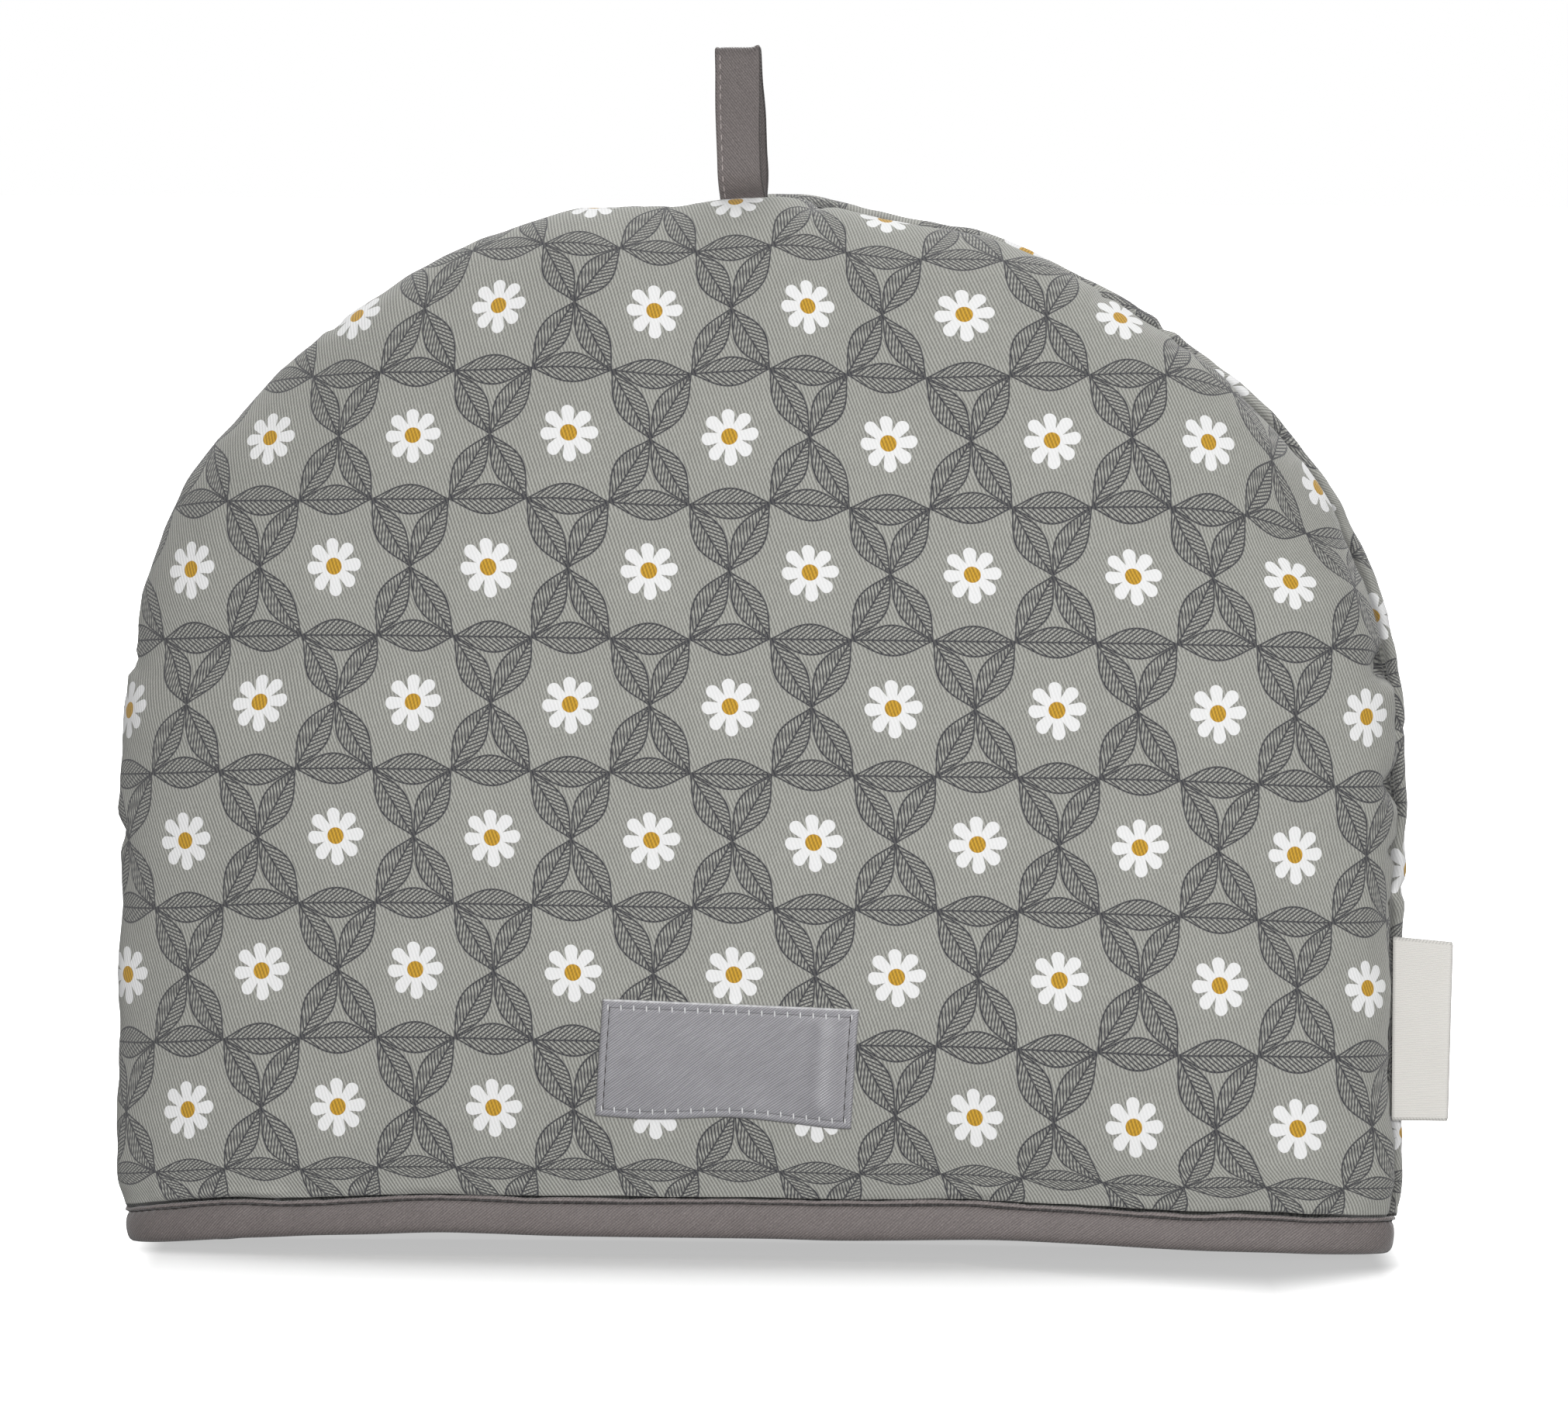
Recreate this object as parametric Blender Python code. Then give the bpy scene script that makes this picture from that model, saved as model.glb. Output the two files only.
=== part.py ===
"""Tea cosy: two padded D-shaped panels, a hem binding, a hanging loop, a label and a side tag.

Metres, +Z up. The cosy stands on its hem. The front faces -Y, and the seam that joins the
two panels lies in the plane Y = 0. Every piece is its own object, with a small gap to the
pieces that it is sewn to.
"""
import math

import bmesh
import bpy
from mathutils import Vector

MM = 0.001

# Body. In the seam plane its outline is a half ellipse on straight sides.
BODY_HALF_WIDTH = 172.4 * MM      # before the seam draws it in; about 340 mm over all
BODY_HALF_DEPTH = 52.0 * MM
SIDE_HEIGHT = 138.0 * MM          # straight sides, from the hem to the shoulders
DOME_RISE = 142.8 * MM            # from the shoulders to the crown
BELLY_HEIGHT = 90.0 * MM          # where the body is deepest
HEM_TUCK = 0.22                   # share of the depth lost from the belly down to the hem
PAD_THICKNESS = 9.0 * MM
SEWN_THICKNESS = 2.6 * MM         # of a panel's edge in the seam
GAP = 0.3 * MM                    # between neighbouring pieces

# The seam lies in a shallow valley between two soft rolls.
VALLEY_DEPTH = 4.0 * MM
VALLEY_REACH = 4.0 * MM
ROLL_WAVE = 1.0 * MM              # height of the puckers along the rolls
ROLL_WAVE_LENGTH = 44.0 * MM
ROLL_WAVE_AT = 8.5 * MM           # from the seam to the top of a roll
ROLL_WAVE_REACH = 5.5 * MM

# Where the sewn edge swells out or sinks in, along the crown: middle x, reach, how far out.
CROWN_SWELLS = (
    (-68.0 * MM, 26.0 * MM, 1.7 * MM),
    (-21.0 * MM, 12.0 * MM, -1.9 * MM),
    (10.0 * MM, 9.0 * MM, 1.1 * MM),
    (42.0 * MM, 13.0 * MM, -1.6 * MM),
    (93.0 * MM, 24.0 * MM, -1.7 * MM),
)
CROWN_FROM = 30.0 * MM            # above the shoulders; the swells are whole at twice this
# One crease draws the left side in: its height, reach and depth.
SIDE_CREASE = (158.0 * MM, 11.0 * MM, 3.3 * MM)

# Soft hollows in the padding: panel, middle x, middle height, reach in x and up, depth.
FRONT, BACK = -1, 1
HOLLOWS = (
    (FRONT, -152.0 * MM, 157.0 * MM, 22.0 * MM, 9.0 * MM, 2.2 * MM),
    (FRONT, -95.0 * MM, 150.0 * MM, 30.0 * MM, 26.0 * MM, 1.1 * MM),
    (FRONT, 84.0 * MM, 138.0 * MM, 34.0 * MM, 22.0 * MM, 1.2 * MM),
    (FRONT, 22.0 * MM, 246.0 * MM, 16.0 * MM, 12.0 * MM, 1.5 * MM),
    (FRONT, 150.0 * MM, 190.0 * MM, 16.0 * MM, 14.0 * MM, 1.6 * MM),
    (BACK, -60.0 * MM, 130.0 * MM, 36.0 * MM, 24.0 * MM, 1.3 * MM),
    (BACK, 88.0 * MM, 168.0 * MM, 30.0 * MM, 24.0 * MM, 1.2 * MM),
    (BACK, 10.0 * MM, 236.0 * MM, 22.0 * MM, 14.0 * MM, 1.4 * MM),
)

# Hem binding: one folded strip round both panels' lower edge.
BINDING_HALF_WIDTH = 168.8 * MM
BINDING_HALF_DEPTH = 41.5 * MM
BINDING_HEIGHT = 10.6 * MM
BINDING_CLOTH = 1.2 * MM
BINDING_FOLD = 7.0 * MM           # over the panel's edge, from face to face
BINDING_STEPS = 96
# The binding's section from its upper edge down to the table: inset from the face, height.
BINDING_OUTER = ((0.0, BINDING_HEIGHT), (0.0, 3.2 * MM), (0.7 * MM, 1.1 * MM), (2.3 * MM, 0.0))
BINDING_INNER = (
    (BINDING_CLOTH, BINDING_HEIGHT),
    (BINDING_CLOTH, 3.0 * MM),
    (2.1 * MM, BINDING_CLOTH + 0.1 * MM),
)
PANEL_EDGE_HEIGHT = BINDING_CLOTH + 0.1 * MM + GAP
PANEL_EDGE_ROUND = 0.9 * MM
PANEL_ROUNDED_TO = 3.3 * MM
PANEL_FREE_ABOVE = 10.9 * MM      # the panel leaves the binding here
PANEL_FULL_AT = 18.0 * MM         # and puffs out to its full body here
HEM_LIFT = 3.6 * MM               # the middle of the front hem stands a little off the table
LIFT_FULL_TO = 75.0 * MM
LIFT_ENDS_AT = 145.0 * MM

# Panel mesh.
COLUMNS = 28
HEM_ROWS = (PANEL_EDGE_HEIGHT, PANEL_ROUNDED_TO, PANEL_FREE_ABOVE,
            12.6 * MM, 15.0 * MM, 19.0 * MM, 26.0 * MM)
SIDE_ROWS = 8
DOME_ROWS = 11
SHOULDER_ANGLE = math.radians(45.0)
EDGE_CROWDING = 0.25              # the mesh is finer towards the seam
ARCH_POWER = 1.4                  # how early the rows begin to arch towards the crown
SHARP_ANGLE = math.radians(50.0)

# Hanging loop: a tape folded from front to back.
LOOP_WIDTH = 12.7 * MM
LOOP_CLOTH = 1.2 * MM
LOOP_MIDDLE_X = -5.0 * MM
LOOP_LEAN = -2.0 * MM
# One leg of the loop: height above the seam, distance from the middle plane.
LOOP_LEG = (
    (1.5 * MM, 0.8 * MM),
    (3.4 * MM, 1.8 * MM),
    (6.0 * MM, 3.8 * MM),
    (9.5 * MM, 5.2 * MM),
    (15.0 * MM, 5.4 * MM),
    (21.0 * MM, 5.0 * MM),
    (27.5 * MM, 3.9 * MM),
    (33.5 * MM, 2.5 * MM),
    (38.0 * MM, 1.4 * MM),
    (39.9 * MM, 0.8 * MM),
)
LOOP_TOP = 40.4 * MM

# Label sewn flat on the front.
LABEL_WIDTH = 67.0 * MM
LABEL_HEIGHT = 31.0 * MM
LABEL_THICKNESS = 1.0 * MM
LABEL_MIDDLE_X = -2.8 * MM
LABEL_MIDDLE_HEIGHT = 51.0 * MM
LABEL_TURN = math.radians(-1.7)

# Side tag: a ribbon folded double, its cut ends sewn into the right-hand seam.
TAG_LAYER = 1.0 * MM
TAG_LAYER_GAP = 0.4 * MM
TAG_FOLD_STEPS = 4
TAG_ROOT_X = 169.7 * MM
TAG_REACH_X = 185.4 * MM
TAG_BOTTOM = 33.6 * MM
TAG_TOP = 82.0 * MM
TAG_SLANT = 0.7 * MM              # the outer end hangs this much lower
TAG_SKEW = 1.0 * MM               # the folded end leans in at the bottom

# The box of all the pieces, the tag among them, is centred on the origin.
BODY_REACH_X = 171.3 * MM
CENTRING_X = -(TAG_REACH_X - BODY_REACH_X) / 2

COLLECTION = "tea_cosy"
COLOURS = {
    "print": ((0.30, 0.30, 0.28, 1.0), 0.9),
    "binding": ((0.18, 0.16, 0.16, 1.0), 0.6),
    "label": ((0.28, 0.275, 0.30, 1.0), 0.5),
    "ribbon": ((0.72, 0.70, 0.66, 1.0), 0.7),
}


def clear_scene():
    for old in list(bpy.data.objects):
        bpy.data.objects.remove(old, do_unlink=True)


def smooth(low, high, value):
    """0 below low, 1 above high, and a soft step between."""
    share = min(max((value - low) / (high - low), 0.0), 1.0)
    return share * share * (3.0 - 2.0 * share)


def bump(value, middle, reach):
    return math.exp(-((value - middle) / reach) ** 2)


def make_material(name):
    colour, roughness = COLOURS[name]
    material = bpy.data.materials.new(name)
    material.use_nodes = True
    shader = material.node_tree.nodes["Principled BSDF"]
    shader.inputs["Base Color"].default_value = colour
    shader.inputs["Roughness"].default_value = roughness
    shader.inputs["Metallic"].default_value = 0.0
    return material


def make_object(name, mesh_cage, material, parent, collection):
    """Turns a finished bmesh into a smooth-shaded object under the parent."""
    bmesh.ops.recalc_face_normals(mesh_cage, faces=mesh_cage.faces[:])
    if mesh_cage.calc_volume(signed=True) < 0.0:
        bmesh.ops.reverse_faces(mesh_cage, faces=mesh_cage.faces[:])
    mesh = bpy.data.meshes.new(name)
    mesh_cage.to_mesh(mesh)
    mesh_cage.free()
    mesh.materials.append(material)
    mesh.shade_smooth()
    mesh.set_sharp_from_angle(angle=SHARP_ANGLE)
    piece = bpy.data.objects.new(name, mesh)
    collection.objects.link(piece)
    piece.parent = parent
    return piece


def beside(path, index, offset):
    """The path's point at index, moved to the right of the way that it runs."""
    before, after = path[max(index - 1, 0)], path[min(index + 1, len(path) - 1)]
    run_u, run_v = after[0] - before[0], after[1] - before[1]
    length = math.hypot(run_u, run_v)
    return path[index][0] + offset * run_v / length, path[index][1] - offset * run_u / length


def slab(columns, rows, place):
    """A closed sheet with two faces. place(across, up, face) gives each point: across and up
    run from 0 to 1, and face is 0 on the outer side and 1 on the inner."""
    cage = bmesh.new()
    bmesh.ops.create_grid(cage, x_segments=columns, y_segments=rows, size=1.0)
    copied = bmesh.ops.extrude_face_region(cage, geom=cage.faces[:], use_keep_orig=True)
    inner = [item for item in copied["geom"] if isinstance(item, bmesh.types.BMVert)]
    bmesh.ops.translate(cage, verts=inner, vec=(0.0, 0.0, -1.0))
    for vert in cage.verts:
        across = (vert.co.x + 1.0) / 2.0
        up = (vert.co.y + 1.0) / 2.0
        vert.co = place(across, up, int(round(-vert.co.z)))
    return cage


# ---- The body's form ----

def hem_lift(x, side):
    if side == BACK:
        return 0.0
    return HEM_LIFT * (1.0 - smooth(LIFT_FULL_TO, LIFT_ENDS_AT, abs(x)))


def edge_swell(x, height):
    """How far the sewn edge stands out from the plain outline."""
    on_crown = smooth(SIDE_HEIGHT + CROWN_FROM, SIDE_HEIGHT + 2.0 * CROWN_FROM, height)
    swell = sum(out * bump(x, middle, reach) for middle, reach, out in CROWN_SWELLS) * on_crown
    if x < 0.0:
        crease_height, reach, depth = SIDE_CREASE
        swell -= depth * bump(height, crease_height, reach)
    return swell


def body_half_depth(height):
    drop = max(0.0, (BELLY_HEIGHT - height) / BELLY_HEIGHT)
    return BODY_HALF_DEPTH * (1.0 - HEM_TUCK * drop * drop)


def hem_section(across, rim, inset):
    """x and depth of a point on the hem's oval, moved in from the binding's outer face.
    across is the sine and rim the cosine of the turn away from the middle."""
    lean_x, lean_y = across / BINDING_HALF_WIDTH, rim / BINDING_HALF_DEPTH
    length = math.hypot(lean_x, lean_y)
    x = BINDING_HALF_WIDTH * across - inset * lean_x / length
    return x, BINDING_HALF_DEPTH * rim - inset * lean_y / length


def body_section(across, rim, height, face):
    """x and depth of a point of a panel's face, clear of the binding."""
    if face == 0:
        return BODY_HALF_WIDTH * across, body_half_depth(height) * rim
    half_width = BODY_HALF_WIDTH - VALLEY_DEPTH - SEWN_THICKNESS
    return half_width * across, (body_half_depth(height) - PAD_THICKNESS) * rim


def body_point(across, up, rim, side, face):
    """A point of a panel. across and up lie on a unit half disc that stands on a unit strip;
    rim is the share of the half depth there, 0 at the seam and 1 at the middle."""
    level = SIDE_HEIGHT * (1.0 + min(up, 0.0))
    free = smooth(PANEL_FREE_ABOVE, PANEL_FULL_AT, level)
    inset = BINDING_CLOTH + GAP
    inset += PANEL_EDGE_ROUND * (1.0 - smooth(PANEL_EDGE_HEIGHT, PANEL_ROUNDED_TO, level))
    if face == 1:
        inset = BINDING_FOLD - inset
    x, depth = body_section(across, rim, level, face)
    if free < 1.0:
        hem_x, hem_depth = hem_section(across, rim, inset)
        x = (1.0 - free) * hem_x + free * x
        depth = max((1.0 - free) * hem_depth + free * depth, 0.0)
    depth += GAP / 2.0 * (1.0 - rim)
    dome_rise = DOME_RISE if face == 0 else DOME_RISE - VALLEY_DEPTH - SEWN_THICKNESS
    z = level + dome_rise * max(up, 0.0)
    spread = edge_swell(x, z)
    if face == 0:
        spread -= free * VALLEY_DEPTH * bump(depth, 0.0, VALLEY_REACH)
        along = math.atan2(max(up, 0.0), across) * SIDE_HEIGHT + min(up, 0.0) * SIDE_HEIGHT
        wave = math.sin(math.tau * along / ROLL_WAVE_LENGTH + side)
        spread += free * ROLL_WAVE * wave * bump(depth, ROLL_WAVE_AT, ROLL_WAVE_REACH)
        for panel, middle_x, middle_z, reach_x, reach_z, hollow in HOLLOWS:
            if panel == side:
                depth -= rim * hollow * bump(x, middle_x, reach_x) * bump(z, middle_z, reach_z)
    x += spread * across
    z += spread * max(up, 0.0)
    z += hem_lift(x, side) * (1.0 - level / SIDE_HEIGHT) ** 2
    return Vector((x, side * depth, z))


def crowd(share):
    """Moves evenly spaced shares closer together towards 1 and -1."""
    return share * (1.0 + EDGE_CROWDING - EDGE_CROWDING * share * share)


def panel_row(row):
    """Place of a row's ends on the unit outline, and how far the row is arched."""
    side_start = len(HEM_ROWS) - 1
    if row <= side_start:
        return 1.0, HEM_ROWS[row] / SIDE_HEIGHT - 1.0, 0.0
    bottom = HEM_ROWS[-1] / SIDE_HEIGHT - 1.0
    step = row - side_start
    if step <= SIDE_ROWS:
        return 1.0, bottom * (1.0 - step / SIDE_ROWS), 0.0
    climb = (step - SIDE_ROWS) / DOME_ROWS
    angle = SHOULDER_ANGLE * crowd(climb)
    return math.cos(angle), math.sin(angle), crowd(climb) ** ARCH_POWER


def panel_cage(side):
    rows = len(HEM_ROWS) - 1 + SIDE_ROWS + DOME_ROWS

    def place(across, up, face):
        turn = crowd(2.0 * across - 1.0)
        end_x, end_z, arch = panel_row(int(round(up * rows)))
        arc = math.sin(turn * SHOULDER_ANGLE) / math.sin(SHOULDER_ANGLE)
        x = end_x * ((1.0 - arch) * turn + arch * arc)
        z = end_z + arch * (math.cos(turn * SHOULDER_ANGLE) - math.cos(SHOULDER_ANGLE))
        radius = math.hypot(x, z) if z > 0.0 else abs(x)
        quarter = math.pi / 2.0 * min(radius, 1.0)
        stretch = math.sin(quarter) / radius if radius > 0.0 else 1.0
        rim = max(math.cos(quarter), 0.0)
        return body_point(x * stretch, z * stretch if z > 0.0 else z, rim, side, face)

    return slab(COLUMNS, rows, place)


# ---- The pieces ----

def make_panels(material, parent, collection):
    for name, side in (("front_panel", FRONT), ("back_panel", BACK)):
        make_object(name, panel_cage(side), material, parent, collection)


def make_binding(material, parent, collection):
    """A folded strip: its section is swept round the hem, outer face first."""
    section = list(BINDING_OUTER)
    section += [(BINDING_FOLD - inset, z) for inset, z in reversed(BINDING_OUTER)]
    section += [(BINDING_FOLD - inset, z) for inset, z in BINDING_INNER]
    section += list(reversed(BINDING_INNER))
    cage = bmesh.new()
    ring = [cage.verts.new((1.0 - inset, 0.0, z)) for inset, z in section]
    edges = [cage.edges.new((ring[i - 1], ring[i])) for i in range(len(ring))]
    bmesh.ops.spin(cage, geom=ring + edges, axis=(0.0, 0.0, 1.0), cent=(0.0, 0.0, 0.0),
                   angle=math.tau, steps=BINDING_STEPS, use_merge=True)
    for vert in cage.verts:
        inset = 1.0 - math.hypot(vert.co.x, vert.co.y)
        angle = math.atan2(vert.co.y, vert.co.x)
        x, y = hem_section(math.cos(angle), math.sin(angle), inset)
        vert.co = (x, y, vert.co.z + hem_lift(x, BACK if y > 0.0 else FRONT))
    make_object("hem_binding", cage, material, parent, collection)


def seam_height(x):
    """Height of the valley floor in the seam plane near the crown."""
    half_width = BODY_HALF_WIDTH - VALLEY_DEPTH
    rise = math.sqrt(1.0 - (x / half_width) ** 2)
    return SIDE_HEIGHT + (DOME_RISE - VALLEY_DEPTH + edge_swell(x, SIDE_HEIGHT + DOME_RISE)) * rise


def make_loop(material, parent, collection):
    """A tape that leaves the seam, bows out, closes in a sharp fold and comes back down."""
    front = [(-away, height) for height, away in LOOP_LEG]
    path = front + [(0.0, LOOP_TOP)] + [(-y, height) for y, height in reversed(front)]
    steps = len(path) - 1

    def place(across, up, face):
        y, height = beside(path, int(round(up * steps)), LOOP_CLOTH * (face - 0.5))
        climb = height / LOOP_TOP
        x = LOOP_MIDDLE_X + (across - 0.5) * LOOP_WIDTH + LOOP_LEAN * climb
        seam = seam_height(x) * (1.0 - climb) + seam_height(LOOP_MIDDLE_X) * climb
        return Vector((x, y, seam + height))

    make_object("hanging_loop", slab(3, steps, place), material, parent, collection)


def make_label(material, parent, collection):
    def place(across, up, face):
        right = (across - 0.5) * LABEL_WIDTH
        above = (up - 0.5) * LABEL_HEIGHT
        x = LABEL_MIDDLE_X + right * math.cos(LABEL_TURN) - above * math.sin(LABEL_TURN)
        z = LABEL_MIDDLE_HEIGHT + right * math.sin(LABEL_TURN) + above * math.cos(LABEL_TURN)
        lowered = z - HEM_LIFT * (1.0 - z / SIDE_HEIGHT) ** 2
        side_share = x / BODY_HALF_WIDTH
        rim = math.sqrt(1.0 - side_share ** 2)
        skin = body_point(side_share, lowered / SIDE_HEIGHT - 1.0, rim, FRONT, 0)
        lift = GAP + LABEL_THICKNESS * (1 - face)
        return Vector((x, skin.y - lift, z))

    make_object("front_label", slab(10, 4, place), material, parent, collection)


def make_tag(material, parent, collection):
    """A ribbon that runs out from the seam, folds and comes back, its two layers a little apart."""
    half = TAG_LAYER_GAP / 2.0 + TAG_LAYER / 2.0
    fold_start = TAG_REACH_X - TAG_LAYER - TAG_LAYER_GAP / 2.0
    turns = [math.pi * step / TAG_FOLD_STEPS for step in range(TAG_FOLD_STEPS + 1)]
    fold = [(fold_start + half * math.sin(turn), -half * math.cos(turn)) for turn in turns]
    path = [(TAG_ROOT_X, -half)] + fold + [(TAG_ROOT_X, half)]
    steps = len(path) - 1

    def place(across, up, face):
        x, y = beside(path, int(round(across * steps)), TAG_LAYER * (0.5 - face))
        out = (x - TAG_ROOT_X) / (TAG_REACH_X - TAG_ROOT_X)
        z = TAG_BOTTOM + (TAG_TOP - TAG_BOTTOM) * up - TAG_SLANT * out
        return Vector((x - TAG_SKEW * out * (1.0 - up), y, z))

    make_object("side_tag", slab(steps, 3, place), material, parent, collection)


def main():
    clear_scene()
    collection = bpy.data.collections.new(COLLECTION)
    bpy.context.scene.collection.children.link(collection)
    cosy = bpy.data.objects.new("cosy_frame", None)
    cosy.location = (CENTRING_X, 0.0, 0.0)
    collection.objects.link(cosy)
    materials = {name: make_material(name) for name in COLOURS}
    make_panels(materials["print"], cosy, collection)
    make_binding(materials["binding"], cosy, collection)
    make_loop(materials["binding"], cosy, collection)
    make_label(materials["label"], cosy, collection)
    make_tag(materials["ribbon"], cosy, collection)


main()
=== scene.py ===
"""Tea cosy: printed and padded panels, bias binding, hanging loop, label, tag and stitches.

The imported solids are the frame, and every piece here stands for one of them or is sewn to it.
Tables and form functions are in millimetres, in the cosy's own coordinates: x from the
middle of the body, y from the seam, z from the table. The front faces -Y.
"""
import math

import bmesh
import bpy
import numpy as np
from mathutils import Matrix, Vector, noise


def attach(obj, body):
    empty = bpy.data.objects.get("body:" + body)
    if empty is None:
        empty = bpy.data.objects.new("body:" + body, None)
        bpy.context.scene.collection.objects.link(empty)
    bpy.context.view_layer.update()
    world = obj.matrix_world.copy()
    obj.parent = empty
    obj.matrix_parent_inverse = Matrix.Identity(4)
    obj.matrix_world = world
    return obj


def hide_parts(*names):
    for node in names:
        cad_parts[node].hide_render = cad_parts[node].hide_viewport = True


bl_info = {
    "name": "Tea cosy",
    "version": (1, 0, 0),
    "blender": (4, 5, 0),
    "location": "3D View > Sidebar > Tea cosy",
    "description": "Builds a padded tea cosy with its trims on a packed frame",
    "category": "Object",
}

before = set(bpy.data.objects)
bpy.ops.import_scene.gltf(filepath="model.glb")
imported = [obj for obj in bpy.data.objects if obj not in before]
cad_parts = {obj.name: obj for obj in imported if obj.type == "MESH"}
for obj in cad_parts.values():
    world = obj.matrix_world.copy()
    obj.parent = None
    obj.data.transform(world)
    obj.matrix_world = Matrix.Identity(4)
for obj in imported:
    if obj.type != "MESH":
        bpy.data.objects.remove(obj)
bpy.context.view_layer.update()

MM = 0.001
FRONT, BACK = -1, 1
UV_NAME = "cloth"

# ---- The body's form, as in the solids ----

BODY_HALF_WIDTH = 172.4
BODY_HALF_DEPTH = 52
SIDE_HEIGHT = 138
DOME_RISE = 143.5
BELLY_HEIGHT = 90
HEM_TUCK = 0.22
PAD_THICKNESS = 9
SEWN_THICKNESS = 2.6
GAP = 0.3
# The panels' sewn edges all but touch, so no light shows through the seam.
SEAM_GAP = 0.04
VALLEY_DEPTH = 4
VALLEY_REACH = 4
ROLL_WAVE, ROLL_WAVE_LENGTH, ROLL_WAVE_AT, ROLL_WAVE_REACH = 0.5, 44, 8.5, 5.5
# Along the crown: middle x, reach, how far out the sewn edge stands.
CROWN_SWELLS = ((-138, 16, 0.8), (-100, 14, 0.9), (-68, 26, 1.7), (-49, 10, 1.3),
                (-21, 12, -1.8), (10, 9, 1), (40, 17, -2.5), (93, 24, -1.8), (123, 22, -1.6))
CROWN_FROM = 30
# Down the left and the right side: middle height, reach, how far out the edge stands.
LEFT_SWELLS = ((158, 11, -3.3), (88, 34, -0.8), (17, 8, 0.9))
RIGHT_SWELLS = ((189, 9, -1.1), (120, 9, 1.1), (23, 13, 0.9))
# Up the right side: height, how far in the front panel's edge lies; the back's stands out.
FRONT_EDGE_IN = ((0, 0.6), (25, 0.9), (60, 1.4), (95, 1.6), (112, 1.9), (121, 2.3), (128, 0.7),
                 (142, 0.1), (150, 0.3), (155, 1.4), (160, 3.4), (165, 2.6), (172, 1.5),
                 (200, 1), (235, 0.6), (290, 0))
RIGHT_EDGE_AT, RIGHT_EDGE_REACH, BACK_EDGE_OUT = 7, 6, 0.8
# The same along the crown: x, how far in the front panel's edge lies; the back's share of it.
CROWN_EDGE_IN = ((4, 0), (12, 1), (20, 1.6), (29, 1.3), (41, 0.5), (60, 0.3), (100, 0.5),
                 (125, 0.5), (150, 0.2))
BACK_CROWN_SHARE = -0.2
# Soft hollows in the padding: panel, middle x, middle height, reach in x and up, depth.
HOLLOWS = (
    (FRONT, -152, 157, 22, 9, 2.2), (FRONT, -95, 150, 30, 26, 1.1),
    (FRONT, 84, 138, 34, 22, 1.2), (FRONT, 22, 246, 16, 12, 1.5),
    (FRONT, 150, 190, 16, 14, 1.6), (BACK, -60, 130, 36, 24, 1.3),
    (BACK, 88, 168, 30, 24, 1.2), (BACK, 10, 236, 22, 14, 1.4),
)
BINDING_HALF_WIDTH, BINDING_HALF_DEPTH, BINDING_RIGHT_REACH = 168.8, 41.5, 1.4
BINDING_CLOTH, BINDING_FOLD = 1.2, 7
PANEL_EDGE_HEIGHT = BINDING_CLOTH + 0.1 + GAP
PANEL_EDGE_ROUND, PANEL_ROUNDED_TO = 0.9, 3.3
PANEL_FREE_ABOVE, PANEL_FULL_AT, PANEL_HEM_WANDER = 9.85, 11.1, 0.25
# Towards the ends the panels come out over the lip at once.
END_FROM, END_FULL_AT, END_LOWER = 0.90, 9.8, 0.4
# Above the binding the panels draw in: by how much at the left end, at the right end and in
# the middle, and how far up.
DRAW_LEFT, DRAW_RIGHT, DRAW_MIDDLE, DRAW_END_REACH, DRAW_MIDDLE_REACH = 2.2, 1.2, 1.3, 3.4, 8
# How far the front hem stands off the table, from place to place across it.
HEM_LIFTS = ((-170, 0), (-161, 0.25), (-153, 0.8), (-146, 1.35), (-137, 2.1), (-128, 2.6),
             (-115, 3.4), (-100, 4), (-82, 4.85), (-67, 4.8), (-45, 4.45), (5, 4.5), (28, 4.2),
             (60, 4.7), (72, 4.6), (84, 4.1), (96, 3.5), (108, 2.8), (122, 2.1), (132, 1.8),
             (142, 1.5), (152, 1.1), (165, 0.9), (171, 1.1))
# How much taller or lower the band is across its way.
BAND_RISES = ((-171, -0.6), (-166, -0.3), (-160, 0.3), (-153, 0.4), (-147, 0.7), (-137, 0.7),
              (-128, 0.25), (-116, -0.25), (-95, 0.35), (-65, 0.4), (-38, 0.7), (0, 0.9),
              (50, 1), (60, 0.9), (72, 0.2), (100, 0.1), (118, -0.1), (132, 0.5), (142, 0.4),
              (152, 0.1), (165, 0.1), (171, -0.2))
# The back's hem lies lower, down to the table; at the right end it joins the front's.
BACK_LOWER, BACK_JOINS_FROM = 1.5, 150
SHOULDER_ANGLE = math.radians(45)
EDGE_CROWDING, ARCH_POWER = 0.25, 1.4

# Fine panel mesh.
COLUMNS = 190
HEM_ROWS = (1.6, 2.3, 3.3, 5, 7, 8.6, 9.4, 9.6, 9.8, 9.95, 10.15, 10.4, 10.65, 10.9, 11.2, 11.6,
            12.1, 12.7, 13.4, 14.2, 15.1, 16.2, 17.4, 18.8, 20.4, 22.2, 24.1, 26)
# The print is drawn in just above the binding, as deep and as far up as this.
TUCK_AT, TUCK_REACH, TUCK_DEPTH = 10.15, 0.45, 0.9
SIDE_ROWS, DOME_ROWS = 56, 70

# Soft lumps just above the front hem, in the flat cloth: u, v, reach in u and v, height.
HEM_LUMPS = ((-148, 12.2, 11, 1.2, 0.9), (-131, 12.4, 8, 1.3, 0.8), (-56, 18, 1.6, 5, -0.9),
             (-52, 17, 1.6, 5, 0.7), (64, 13, 9, 1.5, 0.7), (-84, 13, 7, 1.6, 0.6))
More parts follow.
